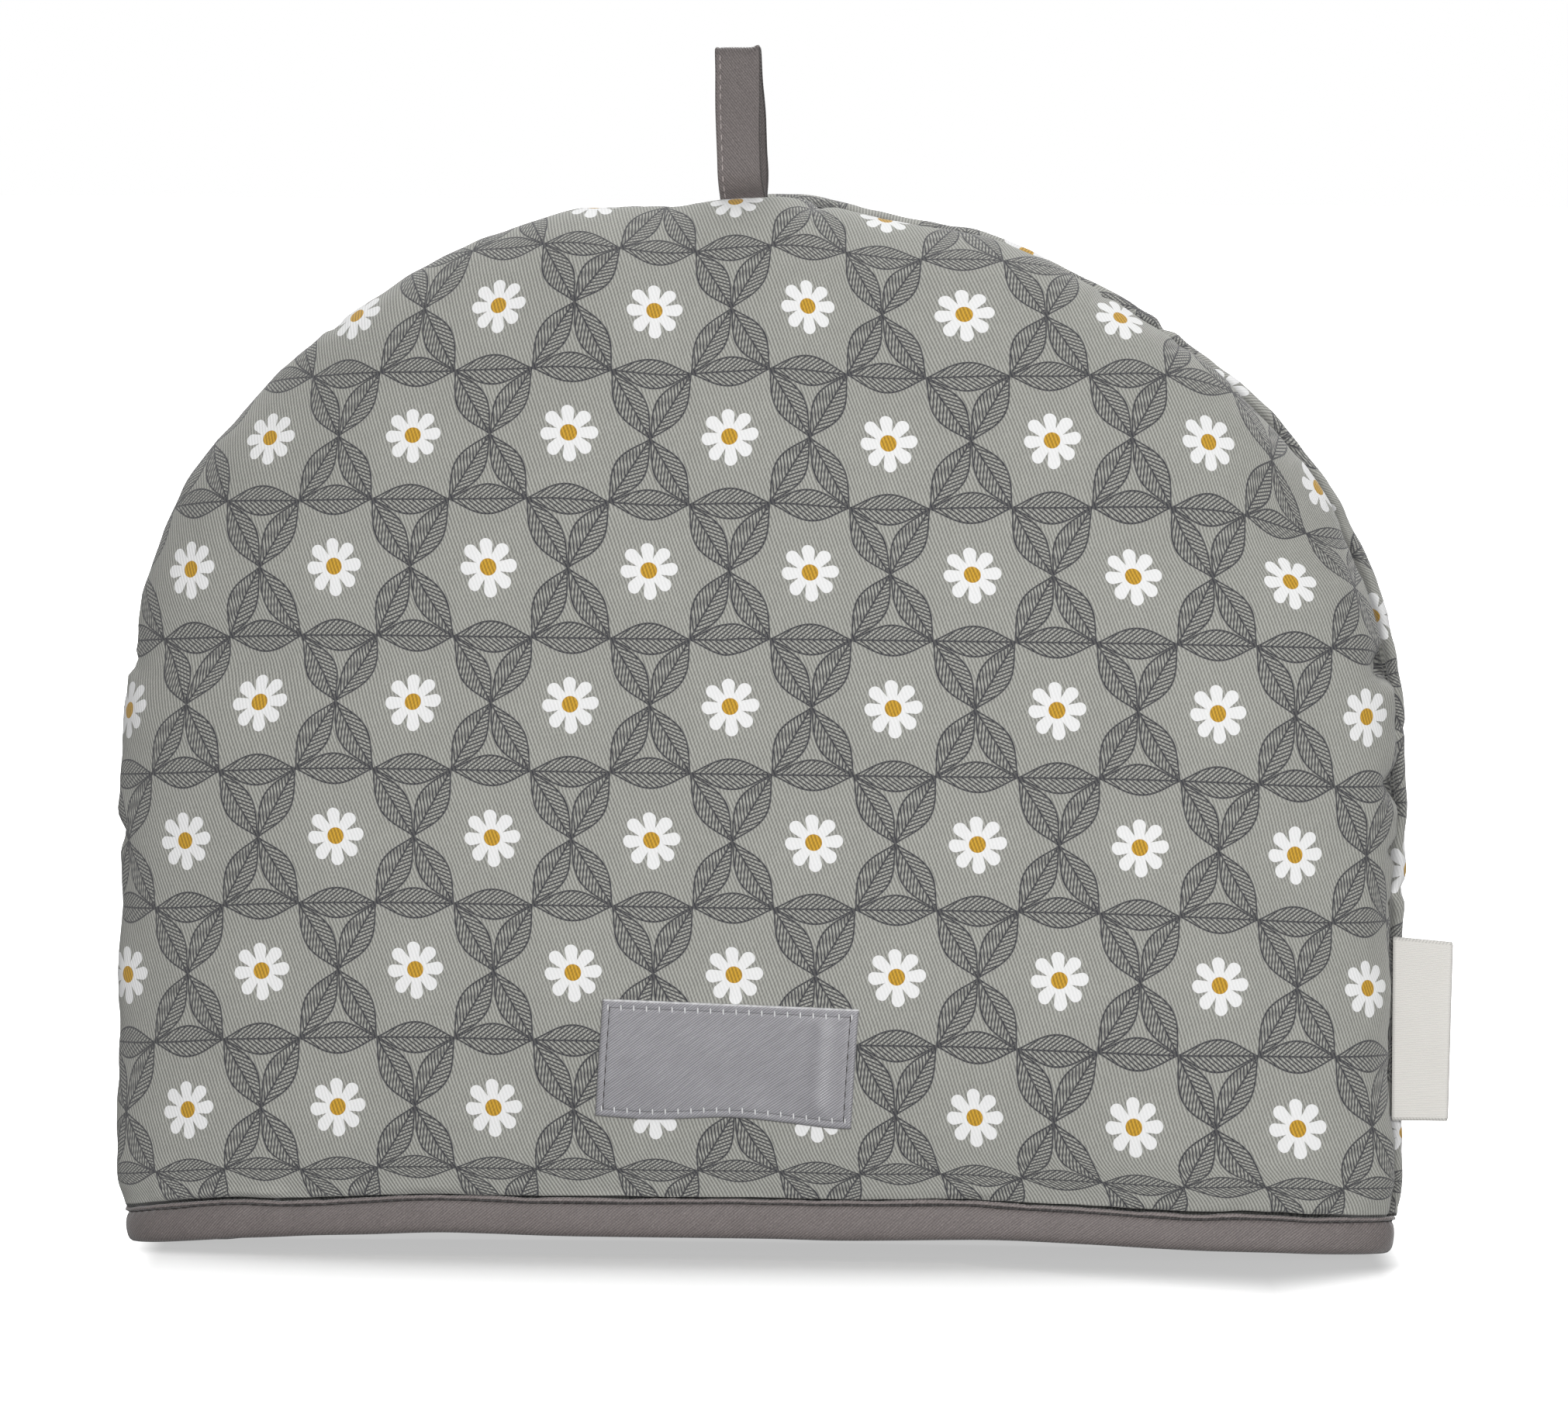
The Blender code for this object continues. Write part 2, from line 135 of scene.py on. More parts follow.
# Creases in the padding, in the flat cloth: from u, v to u, v, half width and depth.
FRONT_CREASES = (
    (-190, 158, -168, 154, 1.9, 1.7),
    (-183, 155, -178.5, 176, 1.4, 1.5),
    (-190, 109, -174, 110, 2.8, 2.1),
    (190, 161, 168, 155, 3.6, 4.4),
    (190, 148, 179, 150, 1.7, 1.7),
    (190, 125, 172, 127, 3.3, 4),
    (190, 109, 177, 107, 2, 2.4),
    (190, 93, 179, 94, 1.6, 1.2),
    (189, 180, 177, 182, 1.6, 1.2),
    (127, 255, 112, 245, 1.7, 0.6),
    (105, 271, 94, 258, 1.7, 0.9),
    (21, 300, 11, 281, 2.2, 1.8),
    (-60, 297, -55, 283, 2, 1.2),
    (-128, 258, -116, 247, 1.8, 1.2),
)
BACK_CREASES = (
    (-190, 128, -172, 131, 2.2, 1.9),
    (-190, 74, -176, 71, 1.8, 1.4),
    (190, 96, 174, 99, 2, 1.6),
    (190, 139, 178, 141, 1.8, 1.5),
    (124, 262, 104, 247, 2, 1.5),
    (-96, 278, -86, 262, 1.9, 1.4),
)

# Hanging loop.
LOOP_WIDTH, LOOP_CLOTH, LOOP_MIDDLE_X, LOOP_LEAN, LOOP_TOP = 12.3, 1.2, -5, -2, 41.9
LOOP_LEG = ((1.5, 0.8), (3.4, 1.8), (6, 3.8), (9.5, 5.2), (15, 5.4), (21, 5), (27.5, 3.9),
            (33.5, 2.6), (38.7, 1.5), (41.1, 0.8))

# Label and tag.
LABEL_WIDTH, LABEL_HEIGHT = 68.1, 31
LABEL_MIDDLE_X, LABEL_MIDDLE_HEIGHT, LABEL_TURN = -2.4, 51.6, math.radians(-1.7)
TAG_LAYER, TAG_LAYER_GAP, TAG_FOLD_STEPS = 1, 0.4, 8
TAG_ROOT_X, TAG_REACH_X, TAG_BOTTOM, TAG_TOP = 169.7, 185.6, 36.2, 85
TAG_SLANT, TAG_SKEW = 1.3, 1

BODY_REACH_X = 171.3
CENTRING_X = -7.05


# ---- Settings that a user would change ----

def length(name, default, description):
    return bpy.props.FloatProperty(name=name, description=description, default=default,
                                   min=0.0, unit="LENGTH", precision=4)


def colour(name, default, description):
    return bpy.props.FloatVectorProperty(name=name, description=description, default=default,
                                         subtype="COLOR", size=3, min=0.0, max=1.0)


class CosyPrint(bpy.types.PropertyGroup):
    across: length("Flowers across", 0.0432, "Distance between the flowers of a row")
    up: length("Rows", 0.0359, "Distance between two rows of flowers")
    petal: length("Petal", 0.0077, "From the middle of a flower to its petals' tips")
    eye: length("Eye", 0.00224, "Radius of a flower's middle")
    leaf: length("Leaf", 0.0080, "Width of a leaf of the trellis")
    line: length("Line", 0.0005, "Width of a drawn line")
    rib: length("Rib", 0.00092, "Distance between two ribs of the twill")
    ground: colour("Ground", (0.392, 0.393, 0.361), "Colour of the ribs of the twill")
    hollow: colour("Hollow", (0.198, 0.198, 0.182), "Colour between the ribs")
    ink: colour("Ink", (0.040, 0.040, 0.047), "Colour of the drawn leaves")
    white: colour("White", (0.74, 0.74, 0.74), "Colour of the petals")
    ochre: colour("Ochre", (0.50, 0.285, 0.028), "Colour of the flowers' middles")


class CosyTrims(bpy.types.PropertyGroup):
    stitch: length("Stitch", 0.0031, "Distance between two stitches of the binding")
    binding: colour("Binding", (0.195, 0.171, 0.166), "Colour of the binding and the loop")
    binding_shade: colour("Binding shade", (0.128, 0.112, 0.109), "Colour between its threads")
    thread: colour("Thread", (0.030, 0.025, 0.024), "Colour of the binding's sewing thread")
    label: colour("Label", (0.335, 0.331, 0.352), "Colour of the label's satin")
    tick: colour("Label thread", (0.76, 0.76, 0.77), "Colour of the thread that holds the label")
    ribbon: colour("Ribbon", (0.665, 0.648, 0.615), "Colour of the side tag")


class CosyStage(bpy.types.PropertyGroup):
    lens: bpy.props.FloatProperty(name="Lens", description="Focal length of the camera",
                                  default=600.0, min=10.0, unit="CAMERA")
    floor: colour("Floor", (0.96, 0.96, 0.96), "Colour of the lit floor")
    azimuth: bpy.props.FloatProperty(name="Azimuth", description="Camera's way round the cosy",
                                     default=math.radians(6.5), unit="ROTATION")
    elevation: bpy.props.FloatProperty(name="Elevation", description="Camera's height angle",
                                       default=math.radians(1.5), unit="ROTATION")
    roll: bpy.props.FloatProperty(name="Roll", description="Turn of the camera about its axis",
                                  default=math.radians(0.40), unit="ROTATION")


# ---- Small helpers for forms ----

def soft_step(low, high, value):
    share = np.clip((value - low) / (high - low), 0, 1)
    return share * share * (3 - 2 * share)


def bump(value, middle, reach):
    return np.exp(-(((value - middle) / reach) ** 2))


def swells(rows, value):
    """The sum of a table's bumps: middle, reach and height of each."""
    return sum(height * bump(value, middle, reach) for middle, reach, height in rows)


def look_up(rows, value):
    """What a table of two columns gives for a value, evenly graded from row to row."""
    given, found = np.array(rows).T
    return np.interp(value, given, found)


def cloth_noise(across, along, seed):
    """Soft unevenness between -1 and 1, one cycle in about two units."""
    places = zip(*map(np.ravel, np.broadcast_arrays(across, along)))
    return np.array([noise.noise(Vector((a, b, seed))) for a, b in places])


def slab(columns, rows):
    """A closed sheet with two faces as a mesh, and where each of its points lies: across and
    up from 0 to 1, and 0 on the outer or 1 on the inner face."""
    cage = bmesh.new()
    bmesh.ops.create_grid(cage, x_segments=columns, y_segments=rows, size=1.0)
    copied = bmesh.ops.extrude_face_region(cage, geom=cage.faces[:], use_keep_orig=True)
    inner = [item for item in copied["geom"] if isinstance(item, bmesh.types.BMVert)]
    bmesh.ops.translate(cage, verts=inner, vec=(0.0, 0.0, -1.0))
    place = np.array([vert.co[:] for vert in cage.verts])
    return cage, (place[:, 0] + 1) / 2, (place[:, 1] + 1) / 2, np.rint(-place[:, 2])


def finish_piece(name, cage, points, flat, materials):
    """Moves the cage's points to their places, writes the cloth's map and makes the object.
    points and flat are in millimetres; flat holds u and v for each point."""
    for vert, place in zip(cage.verts, points * MM):
        vert.co = place
        vert.co.x += CENTRING_X * MM
    layer = cage.loops.layers.uv.new(UV_NAME)
    flat = flat * MM
    for face in cage.faces:
        face.smooth = True
        for loop in face.loops:
            loop[layer].uv = flat[loop.vert.index]
    bmesh.ops.recalc_face_normals(cage, faces=cage.faces[:])
    if cage.calc_volume(signed=True) < 0:
        bmesh.ops.reverse_faces(cage, faces=cage.faces[:])
    return add_object(name, cage, materials)


def add_object(name, cage, materials):
    mesh = bpy.data.meshes.new(name)
    cage.to_mesh(mesh)
    cage.free()
    for material in materials:
        mesh.materials.append(material)
    return linked(name, mesh)


def linked(name, data):
    """A new object of this mesh, light or camera in the scene."""
    made = bpy.data.objects.new(name, data)
    bpy.context.scene.collection.objects.link(made)
    return made


# ---- The body's form ----

def hem_lift(x, side, level):
    """How far the hem stands off the table at x, and how much taller its band is there."""
    lift = look_up(LIFT_CURVE, x)
    lower = BACK_LOWER * (1 - soft_step(BACK_JOINS_FROM, BODY_REACH_X, x))
    lift = np.where(side == BACK, np.maximum(lift - lower, 0), lift)
    return lift + look_up(BAND_CURVE, x) * soft_step(2, 8, level)


def edge_swell(x, height):
    on_crown = soft_step(SIDE_HEIGHT + CROWN_FROM, SIDE_HEIGHT + 2 * CROWN_FROM, height)
    sides = np.where(x < 0, swells(LEFT_SWELLS, height), swells(RIGHT_SWELLS, height))
    return swells(CROWN_SWELLS, x) * on_crown + sides


def body_half_depth(height):
    drop = np.maximum(0, (BELLY_HEIGHT - height) / BELLY_HEIGHT)
    return BODY_HALF_DEPTH * (1 - HEM_TUCK * drop * drop)


def hem_section(across, rim, inset):
    """x and depth of a point on the hem's oval, moved in from the binding's outer face."""
    lean_x, lean_y = across / BINDING_HALF_WIDTH, rim / BINDING_HALF_DEPTH
    size = np.hypot(lean_x, lean_y)
    x = BINDING_HALF_WIDTH * across + BINDING_RIGHT_REACH * np.maximum(across, 0) ** 3
    return x - inset * lean_x / size, BINDING_HALF_DEPTH * rim - inset * lean_y / size


def body_points(across, up, rim, side, face):
    """Points of a panel before its creases. across and up lie on a unit half disc that stands
    on a unit strip; rim is the share of the half depth, 0 at the seam and 1 at the middle."""
    outer, inner = np.where(face < 0.5, 1, 0), np.where(face < 0.5, 0, 1)
    level = SIDE_HEIGHT * (1 + np.minimum(up, 0))
    above = np.maximum(up, 0)
    wander = PANEL_HEM_WANDER * cloth_noise(across * 21, rim * 3, 6 + side)
    end = soft_step(END_FROM, 1, np.abs(across))
    full_at = PANEL_FULL_AT + (END_FULL_AT - PANEL_FULL_AT) * end
    free = soft_step(PANEL_FREE_ABOVE - END_LOWER * end, full_at, level + wander * (1 - end))
    over_hem = np.maximum(level - PANEL_FREE_ABOVE, 0)
    draw = np.where(across < 0, DRAW_LEFT, DRAW_RIGHT)
    ends = outer * draw * np.exp(-over_hem / DRAW_END_REACH)
    middle = outer * DRAW_MIDDLE * np.exp(-over_hem / DRAW_MIDDLE_REACH)
    rounding = 1 - soft_step(PANEL_EDGE_HEIGHT, PANEL_ROUNDED_TO, level)
    inset = BINDING_CLOTH + GAP + PANEL_EDGE_ROUND * rounding
    inset = outer * inset + inner * (BINDING_FOLD - inset)
    sewn = inner * (VALLEY_DEPTH + SEWN_THICKNESS)
    hem_x, hem_depth = hem_section(across, rim, inset)
    x = (1 - free) * hem_x + free * (BODY_HALF_WIDTH - sewn - ends) * across
    depth = body_half_depth(level) - middle - inner * PAD_THICKNESS
    depth = np.maximum((1 - free) * hem_depth + free * depth * rim, 0)
    depth = depth + SEAM_GAP / 2 * (1 - rim)
    z = level + (DOME_RISE - sewn) * above
    along = (np.arctan2(above, across) + np.minimum(up, 0)) * SIDE_HEIGHT
    wave = np.sin(math.tau * along / ROLL_WAVE_LENGTH + side)
    edge = look_up(FRONT_EDGE_IN, z) if side == FRONT else -BACK_EDGE_OUT
    crown = look_up(CROWN_EDGE_IN, x) * (1 if side == FRONT else BACK_CROWN_SHARE)
    apart = edge * soft_step(0.5, 0.9, across) + crown * soft_step(0.35, 0.6, above)
    out = (ROLL_WAVE * wave * bump(depth, ROLL_WAVE_AT, ROLL_WAVE_REACH)
           - VALLEY_DEPTH * bump(depth, 0, VALLEY_REACH)
           - apart * bump(depth, RIGHT_EDGE_AT, RIGHT_EDGE_REACH))
    spread = edge_swell(x, z) + outer * free * out
    for panel, middle_x, middle_z, reach_x, reach_z, hollow in HOLLOWS:
        if panel == side:
            dent = bump(x, middle_x, reach_x) * bump(z, middle_z, reach_z)
            depth = depth - outer * rim * hollow * dent
    x, z = x + spread * across, z + spread * above
    z = z + hem_lift(x, side, level) * (1 - level / SIDE_HEIGHT) ** 2
    return np.stack([x, side * depth, z], axis=-1)


def meridian(turn, reach, depth):
    """Length of an ellipse's arc from its deepest point round to the turn."""
    knots, weights = np.polynomial.legendre.leggauss(12)
    total = np.zeros_like(turn)
    for knot, weight in zip(knots, weights):
        angle = turn * (knot + 1) / 2
        total += weight * np.hypot(reach * np.cos(angle), depth * np.sin(angle))
    return total * turn / 2


def flat_place(across, up, rim):
    """u and v in the flat cloth, the way along the seam and the way in from it."""
    level = SIDE_HEIGHT * (1 + np.minimum(up, 0))
    angle = np.arctan2(np.maximum(up, 0), across)
    turn = np.arccos(np.clip(rim, 0, 1))
    lean_x, lean_z = BODY_HALF_WIDTH * np.cos(angle), DOME_RISE * np.sin(angle)
    reach, depth = np.hypot(lean_x, lean_z), body_half_depth(level)
    out = meridian(turn, reach, depth)
    edge = meridian(np.full_like(turn, math.pi / 2), reach, depth)
    mean = (BODY_HALF_WIDTH + DOME_RISE) / 2
    along = np.where(across >= 0, level, 2 * SIDE_HEIGHT - level) + angle * mean
    return out * lean_x / reach, level + out * lean_z / reach, along, edge - out


def creased(u, v, creases):
    """How far the cloth lies in or out at its creases: a sharp dent between two soft lips."""
    rise = np.zeros_like(u)
    for from_u, from_v, to_u, to_v, width, depth in creases:
        run_u, run_v = to_u - from_u, to_v - from_v
        size = run_u * run_u + run_v * run_v
        share = np.clip(((u - from_u) * run_u + (v - from_v) * run_v) / size, 0, 1)
        away = np.hypot(u - from_u - share * run_u, v - from_v - share * run_v) / width
        lips = 0.22 * np.exp(-(((away - 2.1) / 1.3) ** 2))
        fade = 1 - soft_step(0.25, 1, share)
        rise -= depth * fade * (np.exp(-(away ** 1.5)) - lips)
    return rise


# Unevenness of a panel's outer cloth: height, size one way and the other, place in the noise;
# the puckers also have how far they reach in from the seam and up from the hem.
WADDING_LUMPS = ((0.75, 34, 34, 0), (0.32, 13, 13, 1.7))
SEAM_PUCKERS = ((0.75, 6.5, 22, 3.1, 9), (0.375, 3, 12, 4.9, 5))
HEM_PUCKERS = ((0.8, 6, 14, 6.1, 7),)
RELIEF_SEED, RELIEF_CLEAR, TUCK_ENDS = 5.3, 2.5, (0.97, 0.87)


def puckers(rows, across, along, away, seed):
    """Gathers that die away from a seam."""
    return sum(height * cloth_noise(across / wide, along / tall, seed + over)
               * np.exp(-away / reach) for height, wide, tall, over, reach in rows)


def relief(across, up, rim, side):
    """Unevenness of a panel's outer cloth, in millimetres out from the padded form."""
    u, v, along, inward = flat_place(across, up, rim)
    seed = RELIEF_SEED + 4 * side
    above_hem = np.maximum(v - PANEL_FREE_ABOVE, 0)
    rise = sum(height * cloth_noise(u / wide, v / tall, seed + over)
               for height, wide, tall, over in WADDING_LUMPS)
    rise += puckers(SEAM_PUCKERS, along, inward, inward, seed)
    rise += puckers(HEM_PUCKERS, u, v, above_hem, seed)
    rise += creased(u, v, FRONT_CREASES if side == FRONT else BACK_CREASES)
    clear = soft_step(PANEL_FREE_ABOVE, PANEL_FREE_ABOVE + RELIEF_CLEAR, v)
    tuck_under = TUCK_DEPTH * bump(v, TUCK_AT, TUCK_REACH) * soft_step(*TUCK_ENDS, np.abs(across))
    for middle_u, middle_v, reach_u, reach_v, height in HEM_LUMPS if side == FRONT else ():
        lump = height * bump(u, middle_u, reach_u) * bump(v, middle_v, reach_v)
        rise += lump * (1 + 0.7 * cloth_noise(u / 2.2, v / 4, seed + 8.3))
    return (rise * clear - tuck_under) * soft_step(0, 3, inward)


def crowd(share):
    return share * (1 + EDGE_CROWDING - EDGE_CROWDING * share * share)


def panel_rows():
    """For each row of a panel: place of its ends on the unit outline, and how far it arches."""
    heights = list(HEM_ROWS)
    step = (SIDE_HEIGHT - heights[-1]) / SIDE_ROWS
    heights += [heights[-1] + step * (i + 1) for i in range(SIDE_ROWS)]
    rows = [(1, height / SIDE_HEIGHT - 1, 0) for height in heights]
    for row in range(1, DOME_ROWS + 1):
        climb = crowd(row / DOME_ROWS)
        angle = SHOULDER_ANGLE * climb
        rows.append((math.cos(angle), math.sin(angle), climb ** ARCH_POWER))
    return np.array(rows)


def panel_domain(across, up, rows):
    turn = crowd(2 * across - 1)
    end_x, end_z, arch = rows[np.rint(up * (len(rows) - 1)).astype(int)].T
    x = end_x * ((1 - arch) * turn
                 + arch * np.sin(turn * SHOULDER_ANGLE) / math.sin(SHOULDER_ANGLE))
    z = end_z + arch * (np.cos(turn * SHOULDER_ANGLE) - math.cos(SHOULDER_ANGLE))
    radius = np.where(z > 0, np.hypot(x, z), np.abs(x))
    quarter = math.pi / 2 * np.minimum(radius, 1)
    stretch = np.where(radius > 0, np.sin(quarter) / np.maximum(radius, 1e-9), 1)
    return x * stretch, np.where(z > 0, z * stretch, z), np.maximum(np.cos(quarter), 0)


def outward(points, side):
    """Normals of a regular grid of points that face away from the seam plane."""
    along_row = np.gradient(points, axis=1)
    along_column = np.gradient(points, axis=0)
    normals = np.cross(along_row, along_column)
    normals /= np.maximum(np.linalg.norm(normals, axis=-1, keepdims=True), 1e-9)
    flip = np.sign(normals[len(points) // 2, points.shape[1] // 2, 1]) * side
    return normals * flip


def front_skin(x, z, out):
    """Points that lie out from the front panel's cloth, over or under the places x and z."""
    def at(x, z):
        across = x / BODY_HALF_WIDTH
        up = (z - hem_lift(x, FRONT, z) * (1 - z / SIDE_HEIGHT) ** 2) / SIDE_HEIGHT - 1
        rim = np.sqrt(1 - across ** 2)
        found = body_points(across, up, rim, FRONT, np.zeros_like(x))
        return found[:, 1], relief(across, up, rim, FRONT)

    skin, rise = at(x, z)
    step = 0.5
    slope_x = (at(x + step, z)[0] - skin) / step
    slope_z = (at(x, z + step)[0] - skin) / step
    size = np.sqrt(1 + slope_x ** 2 + slope_z ** 2)
    away = out + rise
    return np.stack([x + away * slope_x / size, skin - away / size, z + away * slope_z / size],
                    axis=-1)


# ---- Shader wiring ----

class Wire:
    """A shader value that is worked with like a number: each operation adds a Math node."""

    def __init__(self, tree, socket):
        self.tree, self.socket = tree, socket

    def math(self, operation, *others):
        node = self.tree.nodes.new("ShaderNodeMath")
        node.operation = operation
        for place, value in enumerate((self,) + others):
            plug(self.tree, value, node.inputs[place])
        return Wire(self.tree, node.outputs[0])

    def __add__(self, other):
        return self.math("ADD", other)

    def __sub__(self, other):
        return self.math("SUBTRACT", other)

    def __mul__(self, other):
        return self.math("MULTIPLY", other)

    def __truediv__(self, other):
        return self.math("DIVIDE", other)

    __radd__, __rmul__ = __add__, __mul__

    def __rsub__(self, other):
        return self.math("MULTIPLY", -1) + other

    def abs(self):
        return self.math("ABSOLUTE")

    def below(self, limit, softness):
        """1 where this is less than the limit and 0 where it is more."""
        node = self.tree.nodes.new("ShaderNodeMapRange")
        node.interpolation_type = "SMOOTHSTEP"
        plug(self.tree, self, node.inputs["Value"])
        spread = softness / 2
        plug(self.tree, limit - spread, node.inputs["From Min"])
        plug(self.tree, limit + spread, node.inputs["From Max"])
        node.inputs["To Min"].default_value = 1.0
        node.inputs["To Max"].default_value = 0.0
        return Wire(self.tree, node.outputs["Result"])


def plug(tree, value, socket):
    if isinstance(value, Wire):
        tree.links.new(value.socket, socket)
    else:
        socket.default_value = value


def new_group(name, inputs, outputs):
    """A shader node group; inputs are pairs of a name and a default, or Vector for a vector."""
    tree = bpy.data.node_groups.new(name, "ShaderNodeTree")
    for label, default in inputs:
        if default == "Vector":
            tree.interface.new_socket(name=label, in_out="INPUT",
                                      socket_type="NodeSocketVector")
        else:
            socket = tree.interface.new_socket(name=label, in_out="INPUT",
                                               socket_type="NodeSocketFloat")
            socket.default_value = default
    for label in outputs:
        tree.interface.new_socket(name=label, in_out="OUTPUT", socket_type="NodeSocketFloat")
    entry, leave = tree.nodes.new("NodeGroupInput"), tree.nodes.new("NodeGroupOutput")
    wires = {label: Wire(tree, entry.outputs[label]) for label, _ in inputs}
    return tree, wires, leave


def use_group(tree, name, build, **values):
    """The outputs of the node group of that name, built when it is first asked for."""
    node = tree.nodes.new("ShaderNodeGroup")
    node.node_tree = bpy.data.node_groups.get(name) or build(name)
    for label, value in values.items():
        plug(tree, value, node.inputs[label.replace("_", " ")])
    return {socket.name: Wire(tree, socket) for socket in node.outputs}


def split(wire, parts=2):
    """The first parts of a vector, each as a wire of its own."""
    node = wire.tree.nodes.new("ShaderNodeSeparateXYZ")
    wire.tree.links.new(wire.socket, node.inputs[0])
    return [Wire(wire.tree, socket) for socket in node.outputs[:parts]]


def texture_place(tree, output="Object"):
    """The place on the object, or one of the other texture coordinates."""
    return Wire(tree, tree.nodes.new("ShaderNodeTexCoord").outputs[output])


def seen_by_camera(tree):
    return Wire(tree, tree.nodes.new("ShaderNodeLightPath").outputs["Is Camera Ray"])


def uneven(wire, scale, detail=2):
    """Noise between 0 and 1 at so many blobs to the metre."""
    node = wire.tree.nodes.new("ShaderNodeTexNoise")
    wire.tree.links.new(wire.socket, node.inputs["Vector"])
    node.inputs["Scale"].default_value = scale
    node.inputs["Detail"].default_value = detail
    return Wire(wire.tree, node.outputs["Fac"])


def twill_group(name):
    """Slanting ribs: 1 on a rib and 0 between two, uneven as spun yarn is."""
    inputs = (("Cloth", "Vector"), ("Pitch", 0.9), ("Angle", -69), ("Unevenness", 0.5))
    tree, given, leave = new_group(name, inputs, ("Rib", "Yarn", "Streak"))
    u, v = split(given["Cloth"])
    angle = given["Angle"] * (math.pi / 180)
    cosine, sine = angle.math("COSINE"), angle.math("SINE")
    thick = uneven(given["Cloth"], 260, 3) - 0.5
    fine = uneven(given["Cloth"], 1500, 2) - 0.5
    pitch = given["Pitch"]
    across = (v * cosine - u * sine) * 1000 / pitch + thick * given["Unevenness"] * 0.6
    along = (u * cosine + v * sine) * 1000 / pitch
    rib = (across * math.tau).math("COSINE") * 0.5 + 0.5
    weft = ((along + across * 0.5) * math.tau).math("COSINE") * 0.12
    rib = rib + weft + fine * given["Unevenness"]
    rib = rib.math("MAXIMUM", 0).math("MINIMUM", 1)
    plug(tree, rib, leave.inputs["Rib"])
    plug(tree, thick + 0.5, leave.inputs["Yarn"])
    drawn = tree.nodes.new("ShaderNodeCombineXYZ")
    plug(tree, (v * cosine - u * sine) * 1500, drawn.inputs[0])
    plug(tree, (u * cosine + v * sine) * 170, drawn.inputs[1])
    plug(tree, uneven(Wire(tree, drawn.outputs[0]), 1, 2), leave.inputs["Streak"])
    return tree


# Softness of the print's edges.
DRAWN_SOFT = 0.16


def flower_group(name):
    """Eight-petalled flowers in rows, every second row set over by half a step."""
    inputs = (("Across", 0), ("Up", 0), ("Step across", 43.2), ("Step up", 35.9),
              ("Petal", 7.7), ("Eye", 2.2))
    tree, given, leave = new_group(name, inputs, ("Petals", "Eyes"))
    x, y, step_x, step_y = (given[key] for key in ("Across", "Up", "Step across", "Step up"))
    row = (y / step_y).math("ROUND")
    y = y - row * step_y
    x = (x + row * step_x * 0.5).math("WRAP", step_x * 0.5, step_x * -0.5)
    radius = (x * x + y * y).math("SQRT")
    turn = y.math("ARCTAN2", x) - math.radians(4)
    reach = given["Petal"] * (1 + (turn * 3 + 0.6).math("SINE") * 0.03)
    eighth = math.pi / 8
    fold = turn.math("WRAP", eighth, -eighth)
    along, aside = radius * fold.math("COSINE"), radius * fold.math("SINE")
    bulb = given["Petal"] * 0.228
    tip = reach - bulb
    waist = bulb * 0.46 + along.math("MINIMUM", tip) / tip * bulb * 0.54
    past = (along - tip).math("MAXIMUM", 0)
    edge = (past * past + aside * aside).math("SQRT") - waist
    plug(tree, edge.below(0, DRAWN_SOFT), leave.inputs["Petals"])
    plug(tree, (radius - given["Eye"]).below(0, DRAWN_SOFT), leave.inputs["Eyes"])
    return tree


LEAF_TAPER = 1.2
# Veins sweep towards a leaf's tip; how far apart they are, and how much less across them.
VEIN_SWEEP, VEIN_PITCH, VEIN_NARROW = 1.3, 1.5, 0.61


def leaf_group(name):
    """Slender veined leaves end to end along three families of crossing lines, so that each
    flower stands in a six-sided opening."""
    inputs = (("Across", 0), ("Up", 0), ("Step across", 43.2), ("Step up", 35.9),
              ("Width", 7.4), ("Line", 0.4))
    tree, given, leave = new_group(name, inputs, ("Lines",))
    step_x, step_y = given["Step across"], given["Step up"]
    columns, rows = given["Across"] / step_x - 0.5, given["Up"] / step_y
    rising, falling = columns + rows * 0.5, columns - rows * 0.5
    half_x = step_x * 0.5
    squared = half_x * half_x + step_y * step_y
    slanting = squared.math("SQRT")
    lean = (half_x * half_x - step_y * step_y) / squared
    half_line = given["Line"] * 0.5
    lines = None
    for line, along, apart, slant, leaf_length in (
            (rising, falling, step_x * step_y / slanting, lean, slanting * 0.5),
            (falling, rising, step_x * step_y / slanting, lean, slanting * 0.5),
            (rows - 0.5, columns - 0.25, step_y, 0, half_x)):
        off = line - line.math("ROUND")
        share = ((along + off * slant) * 2).math("FRACT")
        half = (share * math.pi).math("SINE").math("POWER", LEAF_TAPER) * given["Width"] * 0.5
        aside = (off * apart).abs()
        inside = (aside - half).below(0, DRAWN_SOFT)
        vein = ((share * leaf_length - aside * VEIN_SWEEP) / VEIN_PITCH).math("FRACT") - 0.5
        drawn = (vein.abs() * (VEIN_PITCH * VEIN_NARROW)).below(half_line * 0.8, 0.14)
        drawn = drawn.math("MAXIMUM", aside.below(half_line, DRAWN_SOFT)) * inside
        drawn = drawn.math("MAXIMUM", (aside - half).abs().below(half_line, DRAWN_SOFT))
        lines = drawn if lines is None else lines.math("MAXIMUM", drawn)
    plug(tree, lines, leave.inputs["Lines"])
    return tree


# Where a flower sits in the flat cloth, and the slant of the print's columns and rows.
FLOWER_U, FLOWER_V, COLUMN_LEAN, ROW_LEAN = -1.9, 145.7, 0.022, 0.0038
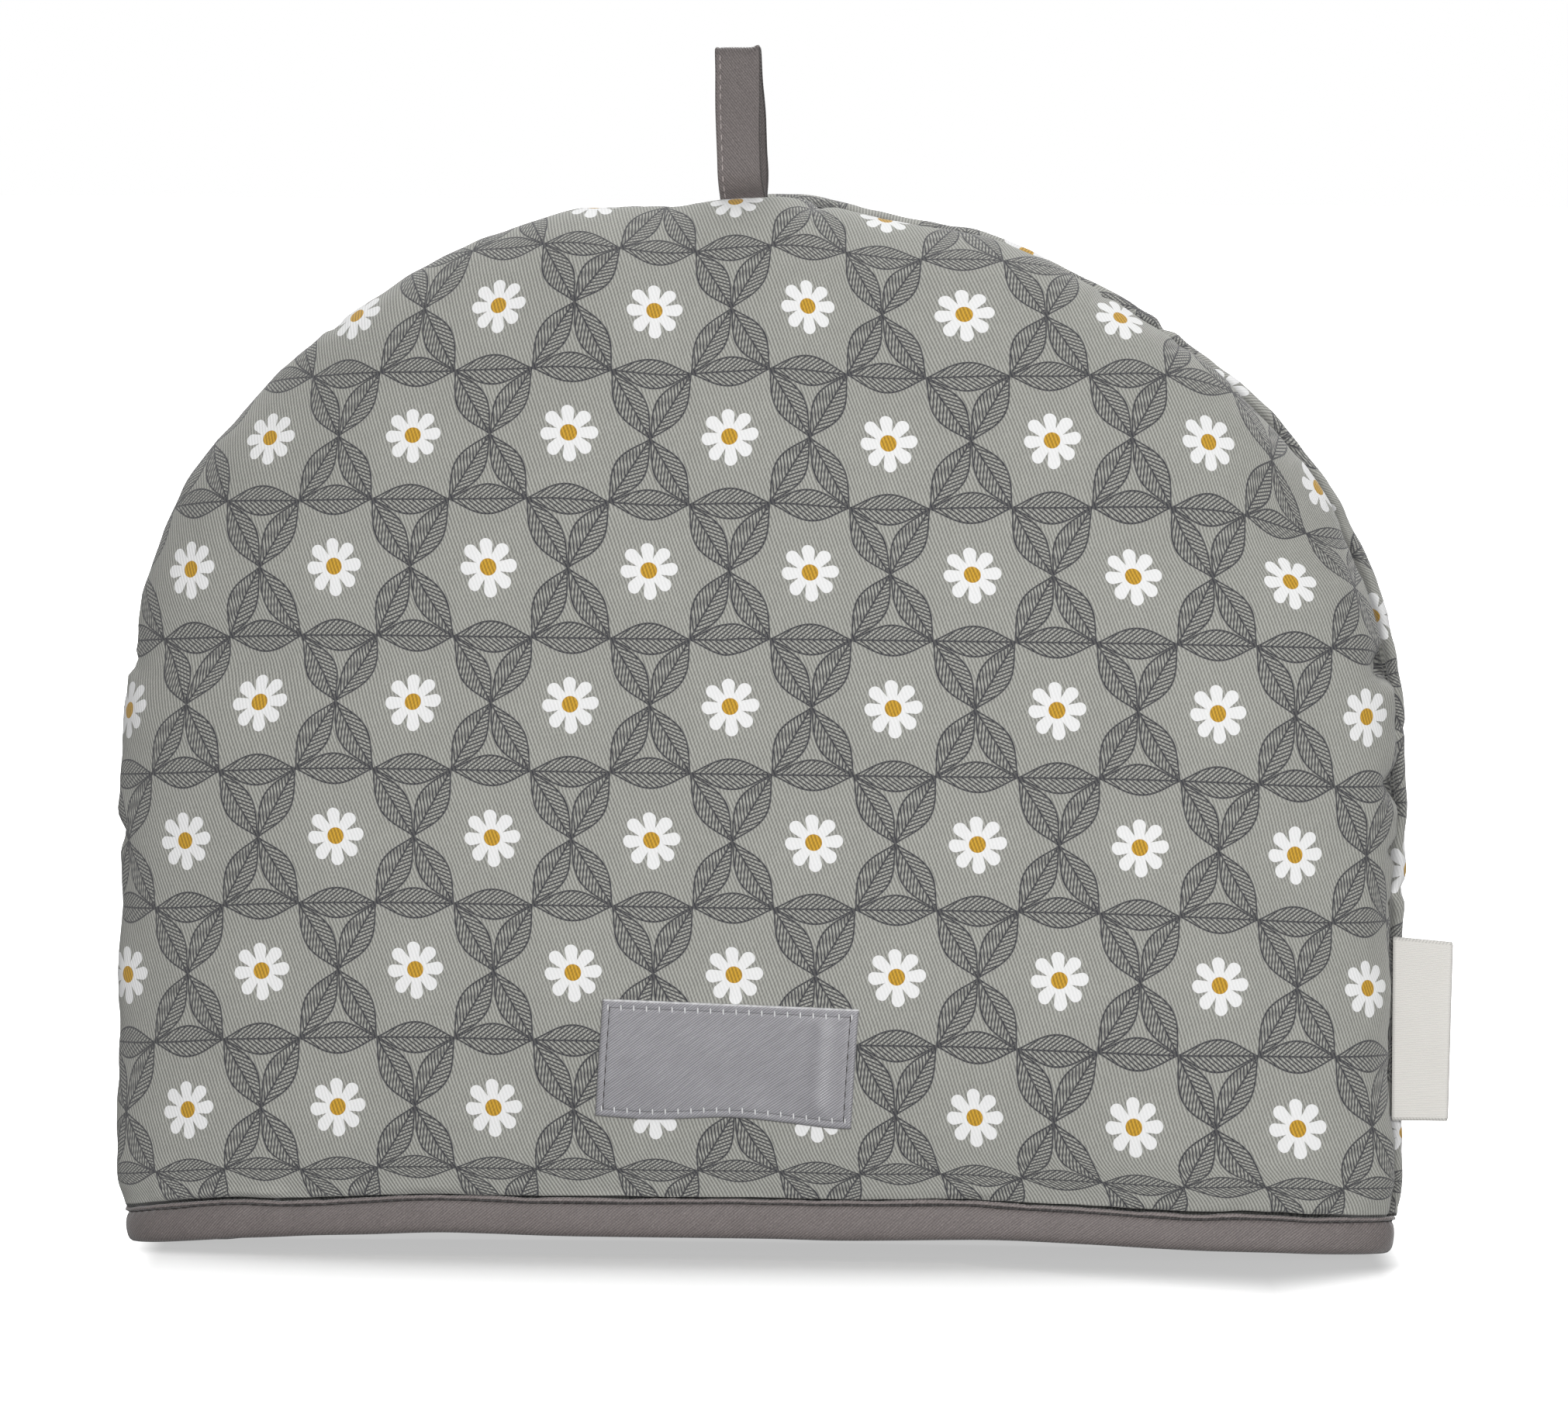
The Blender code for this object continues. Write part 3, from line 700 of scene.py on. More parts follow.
# The front's print is drawn over a little from place to place: middle u and v, reach in u and
# v, how far across and up.
PRINT_PULLS = (
    (0, 22, 400, 34, 1, 2.9), (110, 22, 60, 34, 3, 2),
    (112, 258, 26, 30, -0.6, -4.7), (40, 262, 34, 30, 2.4, -0.7),
    (-8, 300, 20, 24, 2, -2.2), (-122, 262, 22, 24, 1.8, -0.8),
    (-90, 232, 45, 26, -0.3, 1.5), (-186, 142, 14, 16, 1, 2.5),
    (-172, 105, 40, 75, 2.9, 3.1), (165, 105, 42, 45, 1.4, 2.4),
    (115, 215, 34, 26, -1, -2.5), (160, 206.5, 17, 17, 9.2, 8.4),
)
# The back's is set over as a whole, and pulled at one place: middle u and v, reach, how far
# across.
BACK_PRINT_OVER, BACK_PULL = (-13, 8), (163, 209, 20, 13)


class Cloth:
    """A material in the making: its tree, its shader and the cloth's flat place in metres."""

    def __init__(self, name, roughness, sheen=0, sheen_roughness=0.5):
        self.material = bpy.data.materials.new(name)
        self.material.use_nodes = True
        self.tree = self.material.node_tree
        self.shader = self.tree.nodes["Principled BSDF"]
        self.shader.inputs["Roughness"].default_value = roughness
        self.shader.inputs["Sheen Weight"].default_value = sheen
        self.shader.inputs["Sheen Roughness"].default_value = sheen_roughness
        self.shader.inputs["Specular IOR Level"].default_value = 0.3
        node = self.tree.nodes.new("ShaderNodeUVMap")
        node.uv_map = UV_NAME
        self.place = Wire(self.tree, node.outputs["UV"])

    def mix(self, share, low, high, blend="MIX"):
        node = self.tree.nodes.new("ShaderNodeMix")
        node.data_type, node.blend_type = "RGBA", blend
        plug(self.tree, share, node.inputs[0])
        for value, socket in ((low, node.inputs[6]), (high, node.inputs[7])):
            if isinstance(value, Wire):
                self.tree.links.new(value.socket, socket)
            else:
                socket.default_value = (*value, 1.0)
        return Wire(self.tree, node.outputs[2])

    def tinted(self, tint, factor):
        """The colour times a factor that changes over the surface."""
        node = self.tree.nodes.new("ShaderNodeCombineColor")
        for socket in node.inputs:
            plug(self.tree, factor, socket)
        return self.mix(1, tint, Wire(self.tree, node.outputs[0]), "MULTIPLY")

    def woven(self, pitch, angle, unevenness, low, high):
        """Twill over the cloth, and its colour: low between the ribs and high on them."""
        twill = use_group(self.tree, "Twill", twill_group, Cloth=self.place, Pitch=pitch,
                          Angle=angle, Unevenness=unevenness)
        return twill, self.mix(twill["Rib"], low, high)

    def finished(self, surface, height=None, distance=0):
        """The material with its colour, and bumps of a height that stands for so many metres."""
        self.tree.links.new(surface.socket, self.shader.inputs["Base Color"])
        if height:
            node = self.tree.nodes.new("ShaderNodeBump")
            node.inputs["Distance"].default_value = distance
            plug(self.tree, height, node.inputs["Height"])
            self.tree.links.new(node.outputs["Normal"], self.shader.inputs["Normal"])
        return self.material


def shade(share, amount):
    """A grey factor round 1 from a share between 0 and 1."""
    return share * amount + (1 - amount / 2)


def scaled(tint, share):
    return tuple(share * part for part in tint)


# How far the shade of the valley between the panels reaches, and how dark it is; up to what
# height the tuck above the binding is in shade, how soft that edge is, and how dark it is.
VALLEY_SHADE_TO, VALLEY_SHADE = 2.4, 0.6
TUCK_SHADE_TO, TUCK_SHADE_SOFT, TUCK_SHADE = TUCK_AT + 0.48, 0.5, 0.9


def seam_shade(cloth, height):
    """Dark in the tuck above the binding and down in the valley between the two panels."""
    _, deep = split(texture_place(cloth.tree))
    valley = (deep / MM).abs().below(VALLEY_SHADE_TO, VALLEY_SHADE_TO * 1.2)
    tuck = height.below(TUCK_SHADE_TO, TUCK_SHADE_SOFT)
    return (1 - valley * VALLEY_SHADE) * (1 - tuck * TUCK_SHADE)


def print_material(context):
    settings = context.scene.cosy_print
    cloth = Cloth("printed_twill", 0.86, 0.22)
    rib = settings.rib / MM
    twill, ground = cloth.woven(rib, -69, 0.7, settings.hollow, settings.ground)
    mottle = shade(uneven(cloth.place, 28), 0.10)
    ground = cloth.tinted(ground, mottle * shade(twill["Yarn"], 0.16))
    u, v = split(cloth.place)
    up = v / MM - FLOWER_V + u * (ROW_LEAN / MM)
    across = u / MM - FLOWER_U + up * COLUMN_LEAN
    grid = {"Across": across, "Up": up, "Step_across": settings.across / MM,
            "Step_up": settings.up / MM}
    leaves = use_group(cloth.tree, "Leaf trellis", leaf_group, Width=settings.leaf / MM,
                       Line=settings.line / MM, **grid)
    flowers = use_group(cloth.tree, "Flowers", flower_group, Petal=settings.petal / MM,
                        Eye=settings.eye / MM, **grid)
    inked = leaves["Lines"] * (twill["Rib"] * 0.35 + 0.7)
    surface = cloth.mix(inked, ground, settings.ink)
    white = cloth.tinted(settings.white, twill["Rib"] * 0.10 + 0.93)
    surface = cloth.mix(flowers["Petals"], surface, white)
    ochre = cloth.tinted(settings.ochre, twill["Rib"] * 0.55 + 0.62)
    surface = cloth.mix(flowers["Eyes"], surface, ochre)
    surface = cloth.tinted(surface, seam_shade(cloth, v / MM))
    return cloth.finished(surface, twill["Rib"] * (1 - flowers["Petals"] * 0.55), 0.00012)


def lining_material(context):
    settings = context.scene.cosy_print
    cloth = Cloth("plain_lining", 0.9, 0.15)
    twill, surface = cloth.woven(0.55, 45, 0.7, (0.30, 0.30, 0.285), settings.ground)
    surface = cloth.tinted(surface, shade(uneven(cloth.place, 35), 0.12))
    return cloth.finished(surface, twill["Rib"], 0.00008)


def binding_material(context, name="bias_binding", angle=38, lip=True):
    """Fine sateen, cut on the bias."""
    settings = context.scene.cosy_trims
    cloth = Cloth(name, 0.62, 0.30, 0.4)
    twill, surface = cloth.woven(0.6, angle, 0.7, settings.binding_shade, settings.binding)
    worn = shade(uneven(cloth.place, 70), 0.16) * shade(twill["Streak"], 0.4)
    worn = worn * shade(uneven(cloth.place, 1900), 0.95)
    # Painted highlight and shade at the lip; painted shade on the loop's back leg and edge.
    surface = cloth.tinted(surface, worn * (lip_highlight_and_shade(cloth) if lip else loop_tone_and_shade(cloth)))
    return cloth.finished(surface, twill["Rib"] + uneven(cloth.place, 240) * 0.8, 0.00008)


# The tape's tone; how much darker its back leg is in painted shade, from this way along; how much
# darker the front leg's right edge is in painted shade, and how wide that edge.
LOOP_TONE, LOOP_BACK_FROM, LOOP_BACK_SOFT, LOOP_BACK_SHADE = 0.86, 41.5, 6, 0.3
LOOP_EDGE, LOOP_EDGE_SOFT, LOOP_EDGE_SHADE = 0.45, 0.2, 0.45


def loop_tone_and_shade(cloth):
    """The tape's tone, with painted shade on its back leg and along the front leg's right edge."""
    right, along = split(cloth.place)
    behind = 1 - (along / MM).below(LOOP_BACK_FROM, LOOP_BACK_SOFT)
    edge = 1 - (right / MM).below(LOOP_WIDTH - LOOP_EDGE, LOOP_EDGE_SOFT)
    return (1 - behind * LOOP_BACK_SHADE) * (1 - edge * LOOP_EDGE_SHADE) * LOOP_TONE


# Painted highlight: the binding's edge is paler from this height, with this softness, by this
# share. Painted shade under its lip: middle height, reach, softness, how dark.
LIP_HIGHLIGHT_FROM, LIP_HIGHLIGHT_SOFT, LIP_HIGHLIGHT_PALER = 9.1, 0.5, 0.30
LIP_SHADE_AT, LIP_SHADE_REACH, LIP_SHADE_SOFT, LIP_SHADE = 8.5, 0.35, 0.4, 0.78


def lip_highlight_and_shade(cloth):
    """Painted highlight along the binding's top edge and painted shade under its lip."""
    _, height = split(cloth.place)
    height = height / MM
    edge = 1 - (height - LIP_HIGHLIGHT_FROM).below(0, LIP_HIGHLIGHT_SOFT)
    under = (height - LIP_SHADE_AT).abs().below(LIP_SHADE_REACH, LIP_SHADE_SOFT)
    return (edge * LIP_HIGHLIGHT_PALER + 1) * (1 - under * LIP_SHADE)


def label_material(context):
    """Satin with a slanting weave, a light selvedge on top and thin seams inside its edges."""
    settings = context.scene.cosy_trims
    cloth = Cloth("label_satin", 0.42, 0.1)
    cloth.shader.inputs["Specular IOR Level"].default_value = 0.5
    low = scaled(settings.label, 0.55)
    twill, surface = cloth.woven(0.6, 40, 0.45, low, settings.label)
    worn = shade(uneven(cloth.place, 60), 0.10) * shade(twill["Streak"], 0.5)
    surface = cloth.tinted(surface, worn)
    u, v = split(cloth.place)
    right, above = u / MM, v / MM
    from_end = above.math("MINIMUM", LABEL_HEIGHT - above)
    from_side = right.math("MINIMUM", LABEL_WIDTH - right)
    seams = [(away - LABEL_SEAM).abs().below(0.13, 0.16) for away in (from_end, from_side)]
    outside = from_end.math("MINIMUM", from_side).below(LABEL_SEAM - 0.2, 0.1)
    seam = seams[0].math("MAXIMUM", seams[1]) * (1 - outside)
    surface = cloth.tinted(surface, 1 - seam * 0.5)
    edge = (LABEL_HEIGHT - above).below(0.42, 0.2) * uneven(cloth.place, 900)
    return cloth.finished(cloth.mix(edge * 1.3, surface, settings.tick), twill["Rib"], 0.00007)


def ribbon_material(context):
    """Plain woven ribbon with ribs across it."""
    settings = context.scene.cosy_trims
    cloth = Cloth("woven_ribbon", 0.72, 0.2)
    low = scaled(settings.ribbon, 0.86)
    twill, surface = cloth.woven(0.48, 0, 0.35, low, settings.ribbon)
    u, v = split(cloth.place)
    from_end = (v / MM).math("MINIMUM", (TAG_TOP - TAG_BOTTOM) - v / MM)
    turn = ((u + from_end * (0.6 * MM)) * (math.tau / (0.9 * MM))).math("SINE") * 0.5 + 0.5
    surface = cloth.tinted(surface, 1 - from_end.below(0.9, 0.15) * turn * 0.24)
    surface = cloth.tinted(surface, shade(uneven(cloth.place, 90), 0.06))
    return cloth.finished(surface, twill["Rib"], 0.00006)


def thread_material(name, colour_of_thread):
    """Twisted sewing thread; its stitches carry no map, so it reads the object's place."""
    cloth = Cloth(name, 0.6, 0.2)
    share = uneven(texture_place(cloth.tree), 2500)
    return cloth.finished(cloth.mix(share, scaled(colour_of_thread, 0.6), colour_of_thread))


def floor_material(context):
    """Pale floor that throws little light back. For the camera it glows: an even painted shadow
    under and behind the cosy, and painted white beyond the hem's ends.
    """
    settings = context.scene.cosy_stage
    cloth = Cloth("studio_floor", 0.95)
    seen = seen_by_camera(cloth.tree)
    x, y = split(texture_place(cloth.tree))
    aside = (x / MM - CENTRING_X) * math.cos(settings.azimuth) + y / MM * math.sin(settings.azimuth)
    between = (aside - SHADE_MIDDLE).abs().below(SHADE_REACH, SHADE_FADE)
    right = (aside - WIDER_FROM).math("MINIMUM", (WIDER_TO - aside) * WIDER_TO_SHARE)
    right = right.math("MAXIMUM", 0)
    front = (y / MM).below(SHADE_FRONT - right * WIDER_BY, right * SOFTER_BY + SHADE_SOFT)
    painted_shadow = (1 - front) * (y / MM).below(SHADE_BACK, SHADE_BACK_SOFT)
    # Painted shadow: the floor's colour is darkened here, and its glow set to SHADE_GLOW.
    surface = cloth.tinted(settings.floor, 1 - painted_shadow)
    cloth.shader.inputs["Emission Color"].default_value = (1.0, 1.0, 1.0, 1.0)
    glow = seen * (painted_shadow * (SHADE_GLOW - FLOOR_GLOW) + FLOOR_GLOW + 1 - between)
    plug(cloth.tree, glow, cloth.shader.inputs["Emission Strength"])
    return cloth.finished(cloth.mix(seen, (FLOOR_BOUNCE,) * 3, surface))


# ---- Pieces ----

def seam_height(x):
    half_width = BODY_HALF_WIDTH - VALLEY_DEPTH
    rise = np.sqrt(1 - (x / half_width) ** 2)
    swell = edge_swell(x, SIDE_HEIGHT + DOME_RISE)
    return SIDE_HEIGHT + (DOME_RISE - VALLEY_DEPTH + swell) * rise


def printed(u, v, side):
    """Where on the print a place of the flat cloth lies."""
    if side == BACK:
        middle_u, middle_v, reach, right = BACK_PULL
        pull = bump(u, middle_u, reach) * bump(v, middle_v, reach)
        return (BACK_PRINT_OVER[0] - u + right * pull,
                v + BACK_PRINT_OVER[1] * soft_step(11, 40, v))
    across, up = u, v
    for middle_u, middle_v, reach_u, reach_v, right, above in PRINT_PULLS:
        pull = bump(u, middle_u, reach_u) * bump(v, middle_v, reach_v) * soft_step(11, 25, v)
        across, up = across + right * pull, up + above * pull
    return across, up


def make_panel(name, side, materials):
    rows = panel_rows()
    cage, across, up, face = slab(COLUMNS, len(rows) - 1)
    place_x, place_up, rim = panel_domain(across, up, rows)
    points = body_points(place_x, place_up, rim, side, face)
    u, v, _, _ = flat_place(place_x, place_up, rim)
    column = np.rint(across * COLUMNS).astype(int)
    row = np.rint(up * (len(rows) - 1)).astype(int)
    outer = face < 0.5
    grid = np.zeros((len(rows), COLUMNS + 1, 3))
    grid[row[outer], column[outer]] = points[outer]
    normals = outward(grid, side)[row[outer], column[outer]]
    rise = relief(place_x[outer], place_up[outer], rim[outer], side)
    points[outer] += normals * rise[:, None]
    for skin in cage.faces:
        skin.material_index = int(all(face[vert.index] > 0.5 for vert in skin.verts))
    flat = np.stack(printed(u, v, side), axis=-1)
    return finish_piece(name, cage, points, flat, materials)


class COSY_OT_panels(bpy.types.Operator):
    """Front and back panel: padded cloth with its puckers and creases"""
    bl_idname = "cosy.panels"
    bl_label = "Padded panels"

    def execute(self, context):
        materials = [print_material(context), lining_material(context)]
        for node, side in (("front_panel", FRONT), ("back_panel", BACK)):
            piece = make_panel("padded_" + node, side, materials)
            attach(piece, "root")
            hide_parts(node)
        return {"FINISHED"}


# The binding's section, outer face first: inset from the face, height. A narrow lip stands
# above the groove that holds the stitches.
LIP = ((0.9, 9.5), (0.5, 9.72), (0.05, 9.7), (-0.32, 9.52), (-0.54, 9.24), (-0.56, 8.96),
       (-0.4, 8.72), (-0.05, 8.56), (0.42, 8.46), (0.68, 8.33), (0.55, 8.13), (0.25, 7.83),
       (0, 7.33), (-0.2, 6.5), (-0.28, 5.4), (-0.26, 4.4), (-0.18, 3.4), (-0.02, 2.4),
       (0.24, 1.5), (0.75, 0.68), (1.5, 0.16), (2.5, 0))
GROOVE_HEIGHT, GROOVE_END_RISE, GROOVE_WANDER = 8.33, 0.3, 0.22
# How deep the thread draws in each hole, how far the groove stands out between two holes, and
# how far the lip dips over a hole, from so far above the groove.
HOLE_DEPTH, HOLE_BETWEEN, LIP_DIP, LIP_DIP_ABOVE = 0.45, 0.1, 0.14, 0.35
INSIDE = ((BINDING_CLOTH, 9.45), (BINDING_CLOTH, 7), (BINDING_CLOTH, 3), (2.1, 1.3))
BINDING_STEPS = 1500


def stitch_turns(run, pitch):
    """How many stitches lie between the start of the hem's seam and a place on it."""
    start, end = hem_run(np.array([-math.pi, math.pi]))
    count = round((end - start) / pitch)
    return (run - start) / (end - start) * count, count


def groove_rise(run, x):
    """How far the stitched groove lies above its usual height."""
    wander = GROOVE_WANDER * cloth_noise(run / 26, 0, 11.5)
    return wander + GROOVE_END_RISE * soft_step(120, 165, np.abs(x))


def make_binding(material, pitch):
    section = list(LIP)
    section += [(BINDING_FOLD - inset, z) for inset, z in reversed(LIP)]
    section += [(BINDING_FOLD - inset, z) for inset, z in INSIDE]
    section += list(reversed(INSIDE))
    cage = bmesh.new()
    bmesh.ops.create_grid(cage, x_segments=BINDING_STEPS, y_segments=len(section), size=1.0)
    for vert in cage.verts:
        inset, z = section[round((vert.co.y + 1) / 2 * len(section)) % len(section)]
        turn = vert.co.x * math.pi
        vert.co = (1000 - inset) * math.cos(turn), (1000 - inset) * math.sin(turn), z
    bmesh.ops.remove_doubles(cage, verts=cage.verts[:], dist=0.002)
    cage.verts.index_update()
    place = np.array([vert.co[:] for vert in cage.verts])
    angle = np.arctan2(place[:, 1], place[:, 0])
    inset = 1000 - np.hypot(place[:, 0], place[:, 1])
    x, y = hem_section(np.cos(angle), np.sin(angle), inset)
    z = place[:, 2]
    run = hem_run(angle)
    outer = soft_step(2.9, 2, inset) * soft_step(0, 2.5, z)
    turns, _ = stitch_turns(run, pitch)
    hole = 0.5 + 0.5 * np.cos(math.tau * turns)
    sunk = outer * (HOLE_DEPTH * hole - HOLE_BETWEEN) * bump(z, GROOVE_HEIGHT, 0.5)
    x, y = hem_section(np.cos(angle), np.sin(angle), inset + sunk)
    z = z + outer * (groove_rise(run, x) * bump(z, GROOVE_HEIGHT, 1.5)
                     - LIP_DIP * hole * bump(z, GROOVE_HEIGHT + LIP_DIP_ABOVE, 0.5))
    swell = 0.16 * cloth_noise(run / 7, z / 6, 2.2)
    swell += 0.10 * cloth_noise(run / 2.6, z / 3, 8.1)
    edge = 0.35 * cloth_noise(run / 9, 0, 4.4) + 0.15 * cloth_noise(run / 3.2, 0, 6.8)
    edge *= soft_step(7.5, 10, z)
    out_x, out_y = np.cos(angle) / BINDING_HALF_WIDTH, np.sin(angle) / BINDING_HALF_DEPTH
    size = np.hypot(out_x, out_y)
    x, y = x + outer * swell * out_x / size, y + outer * swell * out_y / size
    z = z + hem_lift(x, np.where(y > 0, BACK, FRONT), place[:, 2]) + outer * edge
    points = np.stack([x, y, z], axis=-1)
    flat = np.stack([run, place[:, 2]], axis=-1)
    piece = finish_piece("folded_hem_binding", cage, points, flat, [material])
    join_map(piece, hem_run(np.array([math.pi]))[0] * 2)
    return piece


def hem_run(angle):
    """Way round the hem from its right-hand end to the angle, below 0 at the front."""
    return np.sign(angle) * meridian(np.abs(angle), BINDING_HALF_DEPTH, BINDING_HALF_WIDTH)


def join_map(piece, round_length):
    """Keeps the map of the faces where the ring closes in one piece."""
    layer = piece.data.uv_layers[UV_NAME]
    flat = np.zeros(len(layer.uv) * 2, dtype=np.float32)
    layer.uv.foreach_get("vector", flat)
    flat = flat.reshape(-1, 2)
    starts = np.zeros(len(piece.data.polygons), dtype=np.int64)
    piece.data.polygons.foreach_get("loop_start", starts)
    face = np.repeat(np.arange(len(starts)), np.diff(np.append(starts, len(flat))))
    high = np.maximum.reduceat(flat[:, 0], starts)[face]
    far = high - flat[:, 0] > round_length * MM / 2
    flat[far, 0] += round_length * MM
    layer.uv.foreach_set("vector", flat.ravel())


class COSY_OT_binding(bpy.types.Operator):
    """Hem binding: a bias strip folded over both panels' lower edge"""
    bl_idname = "cosy.binding"
    bl_label = "Hem binding"

    def execute(self, context):
        piece = make_binding(binding_material(context), context.scene.cosy_trims.stitch / MM)
        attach(piece, "root")
        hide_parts("hem_binding")
        return {"FINISHED"}


def run_along(path):
    """How far along a path each of its points lies."""
    return np.append(0, np.cumsum(np.linalg.norm(np.diff(path, axis=0), axis=1)))


def smooth_path(knots, steps):
    """Evenly parted points on a curve through the knots."""
    knots = np.array(knots, dtype=float)
    padded = np.vstack([2 * knots[0] - knots[1], knots, 2 * knots[-1] - knots[-2]])
    found = []
    for i in range(1, len(padded) - 2):
        before, start, end, after = padded[i - 1:i + 3]
        for share in np.linspace(0, 1, 12, endpoint=False):
            found.append(0.5 * (2 * start + (end - before) * share
                                + (2 * before - 5 * start + 4 * end - after) * share ** 2
                                + (3 * start - before - 3 * end + after) * share ** 3))
    found = np.array(found + [knots[-1]])
    run = run_along(found)
    even = np.linspace(0, run[-1], steps + 1)
    return np.stack([np.interp(even, run, found[:, i]) for i in range(2)], axis=-1), run[-1]


LIFT_CURVE, _ = smooth_path(HEM_LIFTS, 240)
BAND_CURVE, _ = smooth_path(BAND_RISES, 240)


def path_frame(path):
    """For each point of a path, the direction to its right."""
    ahead = np.gradient(path, axis=0)
    ahead /= np.linalg.norm(ahead, axis=1, keepdims=True)
    return np.stack([ahead[:, 1], -ahead[:, 0]], axis=-1)


def rounded(across, radius_share):
    """Share of the thickness that a strip keeps towards its long edges."""
    near = np.clip((np.abs(2 * across - 1) - (1 - radius_share)) / radius_share, 0, 1)
    return 0.35 + 0.65 * np.sqrt(1 - near ** 2)


LOOP_STEPS, LOOP_COLUMNS = 150, 28
LOOP_STITCH_FROM_EDGE, LOOP_PEAK = 1.4, 0.7
# Where up the front leg the tape's right edge is drawn in, reach, how far; how wavy its right
# and its left edge are.
LOOP_PINCH = (0.32, 0.26, 0.6)
LOOP_RIGHT_WAVE, LOOP_LEFT_WAVE = 0.22, 0.12


def loop_path():
    front = [(-away, height) for height, away in LOOP_LEG]
    path = front + [(0, LOOP_TOP)] + [(-y, height) for y, height in reversed(front)]
    return smooth_path(path, LOOP_STEPS)


def loop_place(across, up, off):
    """Points of the tape: across its width, up along it, and off from its middle layer."""
    path, size = loop_path()
    index = np.rint(up * LOOP_STEPS).astype(int)
    spot = path[index] + path_frame(path)[index] * off[:, None]
    climb = spot[:, 1] / LOOP_TOP
    wave = LOOP_RIGHT_WAVE * cloth_noise(up * 9, 0, 3.7) * soft_step(0.5, 1, across)
    wave = wave - LOOP_LEFT_WAVE * cloth_noise(up * 8, 0, 5.9) * soft_step(0.5, 0, across)
    front = soft_step(0.56, 0.44, up)
    pinch = swells((LOOP_PINCH,), climb) * soft_step(0.5, 1, across) * front
    x = LOOP_MIDDLE_X + (across - 0.5) * LOOP_WIDTH + LOOP_LEAN * climb + wave - pinch
    peak = LOOP_PEAK * bump(across, 0.93, 0.07) * soft_step(0.9, 1, climb)
    seam = seam_height(x) * (1 - climb) + seam_height(np.array([LOOP_MIDDLE_X])) * climb
    return np.stack([x, spot[:, 0], seam + spot[:, 1] + peak], axis=-1), size


def make_loop(material):
    cage, across, up, face = slab(LOOP_COLUMNS, LOOP_STEPS)
    half = LOOP_CLOTH / 2 * rounded(across, 0.08)
    half -= 0.16 * bump(across * LOOP_WIDTH, LOOP_STITCH_FROM_EDGE, 0.5)
    half += 0.08 * cloth_noise(across * 3, up * 22, 1.3)
    points, size = loop_place(across, up, half * (2 * face - 1))
    flat = np.stack([across * LOOP_WIDTH, up * size], axis=-1)
    return finish_piece("hanging_tape_loop", cage, points, flat, [material]), size


class COSY_OT_loop(bpy.types.Operator):
    """Hanging loop: a folded tape, edge-stitched along one side"""
    bl_idname = "cosy.loop"
    bl_label = "Hanging loop"

    def execute(self, context):
        piece, size = make_loop(binding_material(context, "loop_tape", -52, False))
        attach(piece, "root")
        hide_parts("hanging_loop")
        size * MM
        return {"FINISHED"}


LABEL_COLUMNS, LABEL_ROWS = 134, 62
LABEL_SEAM, LABEL_SHEAR = 2.1, 0.045
# Waves of its lower edge: middle, reach, how far up.
LABEL_WAVES = ((2, 12, 0.9), (-22, 10, -0.5), (30, 9, -0.9))
# How far its face stands out, how much less in its seams, how high its soft waves are, and a
# fold near its right end: where across it, reach, height.
LABEL_PUFF, LABEL_SEAM_DEPTH, LABEL_WAVE, LABEL_FOLD = 0.85, 0.16, 0.22, (0.86, 0.035, 0.7)


def label_spot(across, up):
    """x and z of a place on the label, its lower edge a little wavy."""
    right = (across - 0.5) * LABEL_WIDTH
    above = (up - 0.5) * LABEL_HEIGHT
    right = right + LABEL_SHEAR * above
    above = above + (1 - up) * swells(LABEL_WAVES, right)
    x = LABEL_MIDDLE_X + right * math.cos(LABEL_TURN) - above * math.sin(LABEL_TURN)
    return x, LABEL_MIDDLE_HEIGHT + right * math.sin(LABEL_TURN) + above * math.cos(LABEL_TURN)


def label_lift(across, up):
    """How far the label's face stands out, drawn in along its seams."""
    from_side = np.minimum(across, 1 - across) * LABEL_WIDTH
    from_end = np.minimum(up, 1 - up) * LABEL_HEIGHT
    near = np.minimum(from_side, from_end)
    lift = LABEL_PUFF - LABEL_SEAM_DEPTH * bump(near, LABEL_SEAM, 0.4)
    lift += LABEL_WAVE * cloth_noise(across * 7, up * 3, 7.7) * soft_step(2, 7, near)
    lift += swells((LABEL_FOLD,), across) * soft_step(1.5, 6, near)
    return lift - 0.5 * soft_step(0.5, 0, near)


def make_label(material):
    cage, across, up, face = slab(LABEL_COLUMNS, LABEL_ROWS)
    x, z = label_spot(across, up)
    lift = np.where(face < 0.5, GAP + 0.15 + label_lift(across, up), GAP)
    flat = np.stack([across * LABEL_WIDTH, up * LABEL_HEIGHT], axis=-1)
    return finish_piece("sewn_front_label", cage, front_skin(x, z, lift), flat, [material])


class COSY_OT_label(bpy.types.Operator):
    """Front label: a bare satin patch sewn down along its four edges"""
    bl_idname = "cosy.label"
    bl_label = "Front label"

    def execute(self, context):
        piece = make_label(label_material(context))
        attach(piece, "root")
        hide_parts("front_label")
        return {"FINISHED"}


TAG_ROWS, TAG_COLUMNS_FLAT = 60, 14


def tag_path():
    half = TAG_LAYER_GAP / 2 + TAG_LAYER / 2
    fold_start = TAG_REACH_X - TAG_LAYER - TAG_LAYER_GAP / 2
    turns = [math.pi * step / TAG_FOLD_STEPS for step in range(TAG_FOLD_STEPS + 1)]
    fold = [(fold_start + half * math.sin(turn), -half * math.cos(turn)) for turn in turns]
    runs = np.linspace(TAG_ROOT_X, fold_start, TAG_COLUMNS_FLAT, endpoint=False)
    front, back = [(x, -half) for x in runs], [(x, half) for x in runs[::-1]]
    return np.array(front + fold + back)


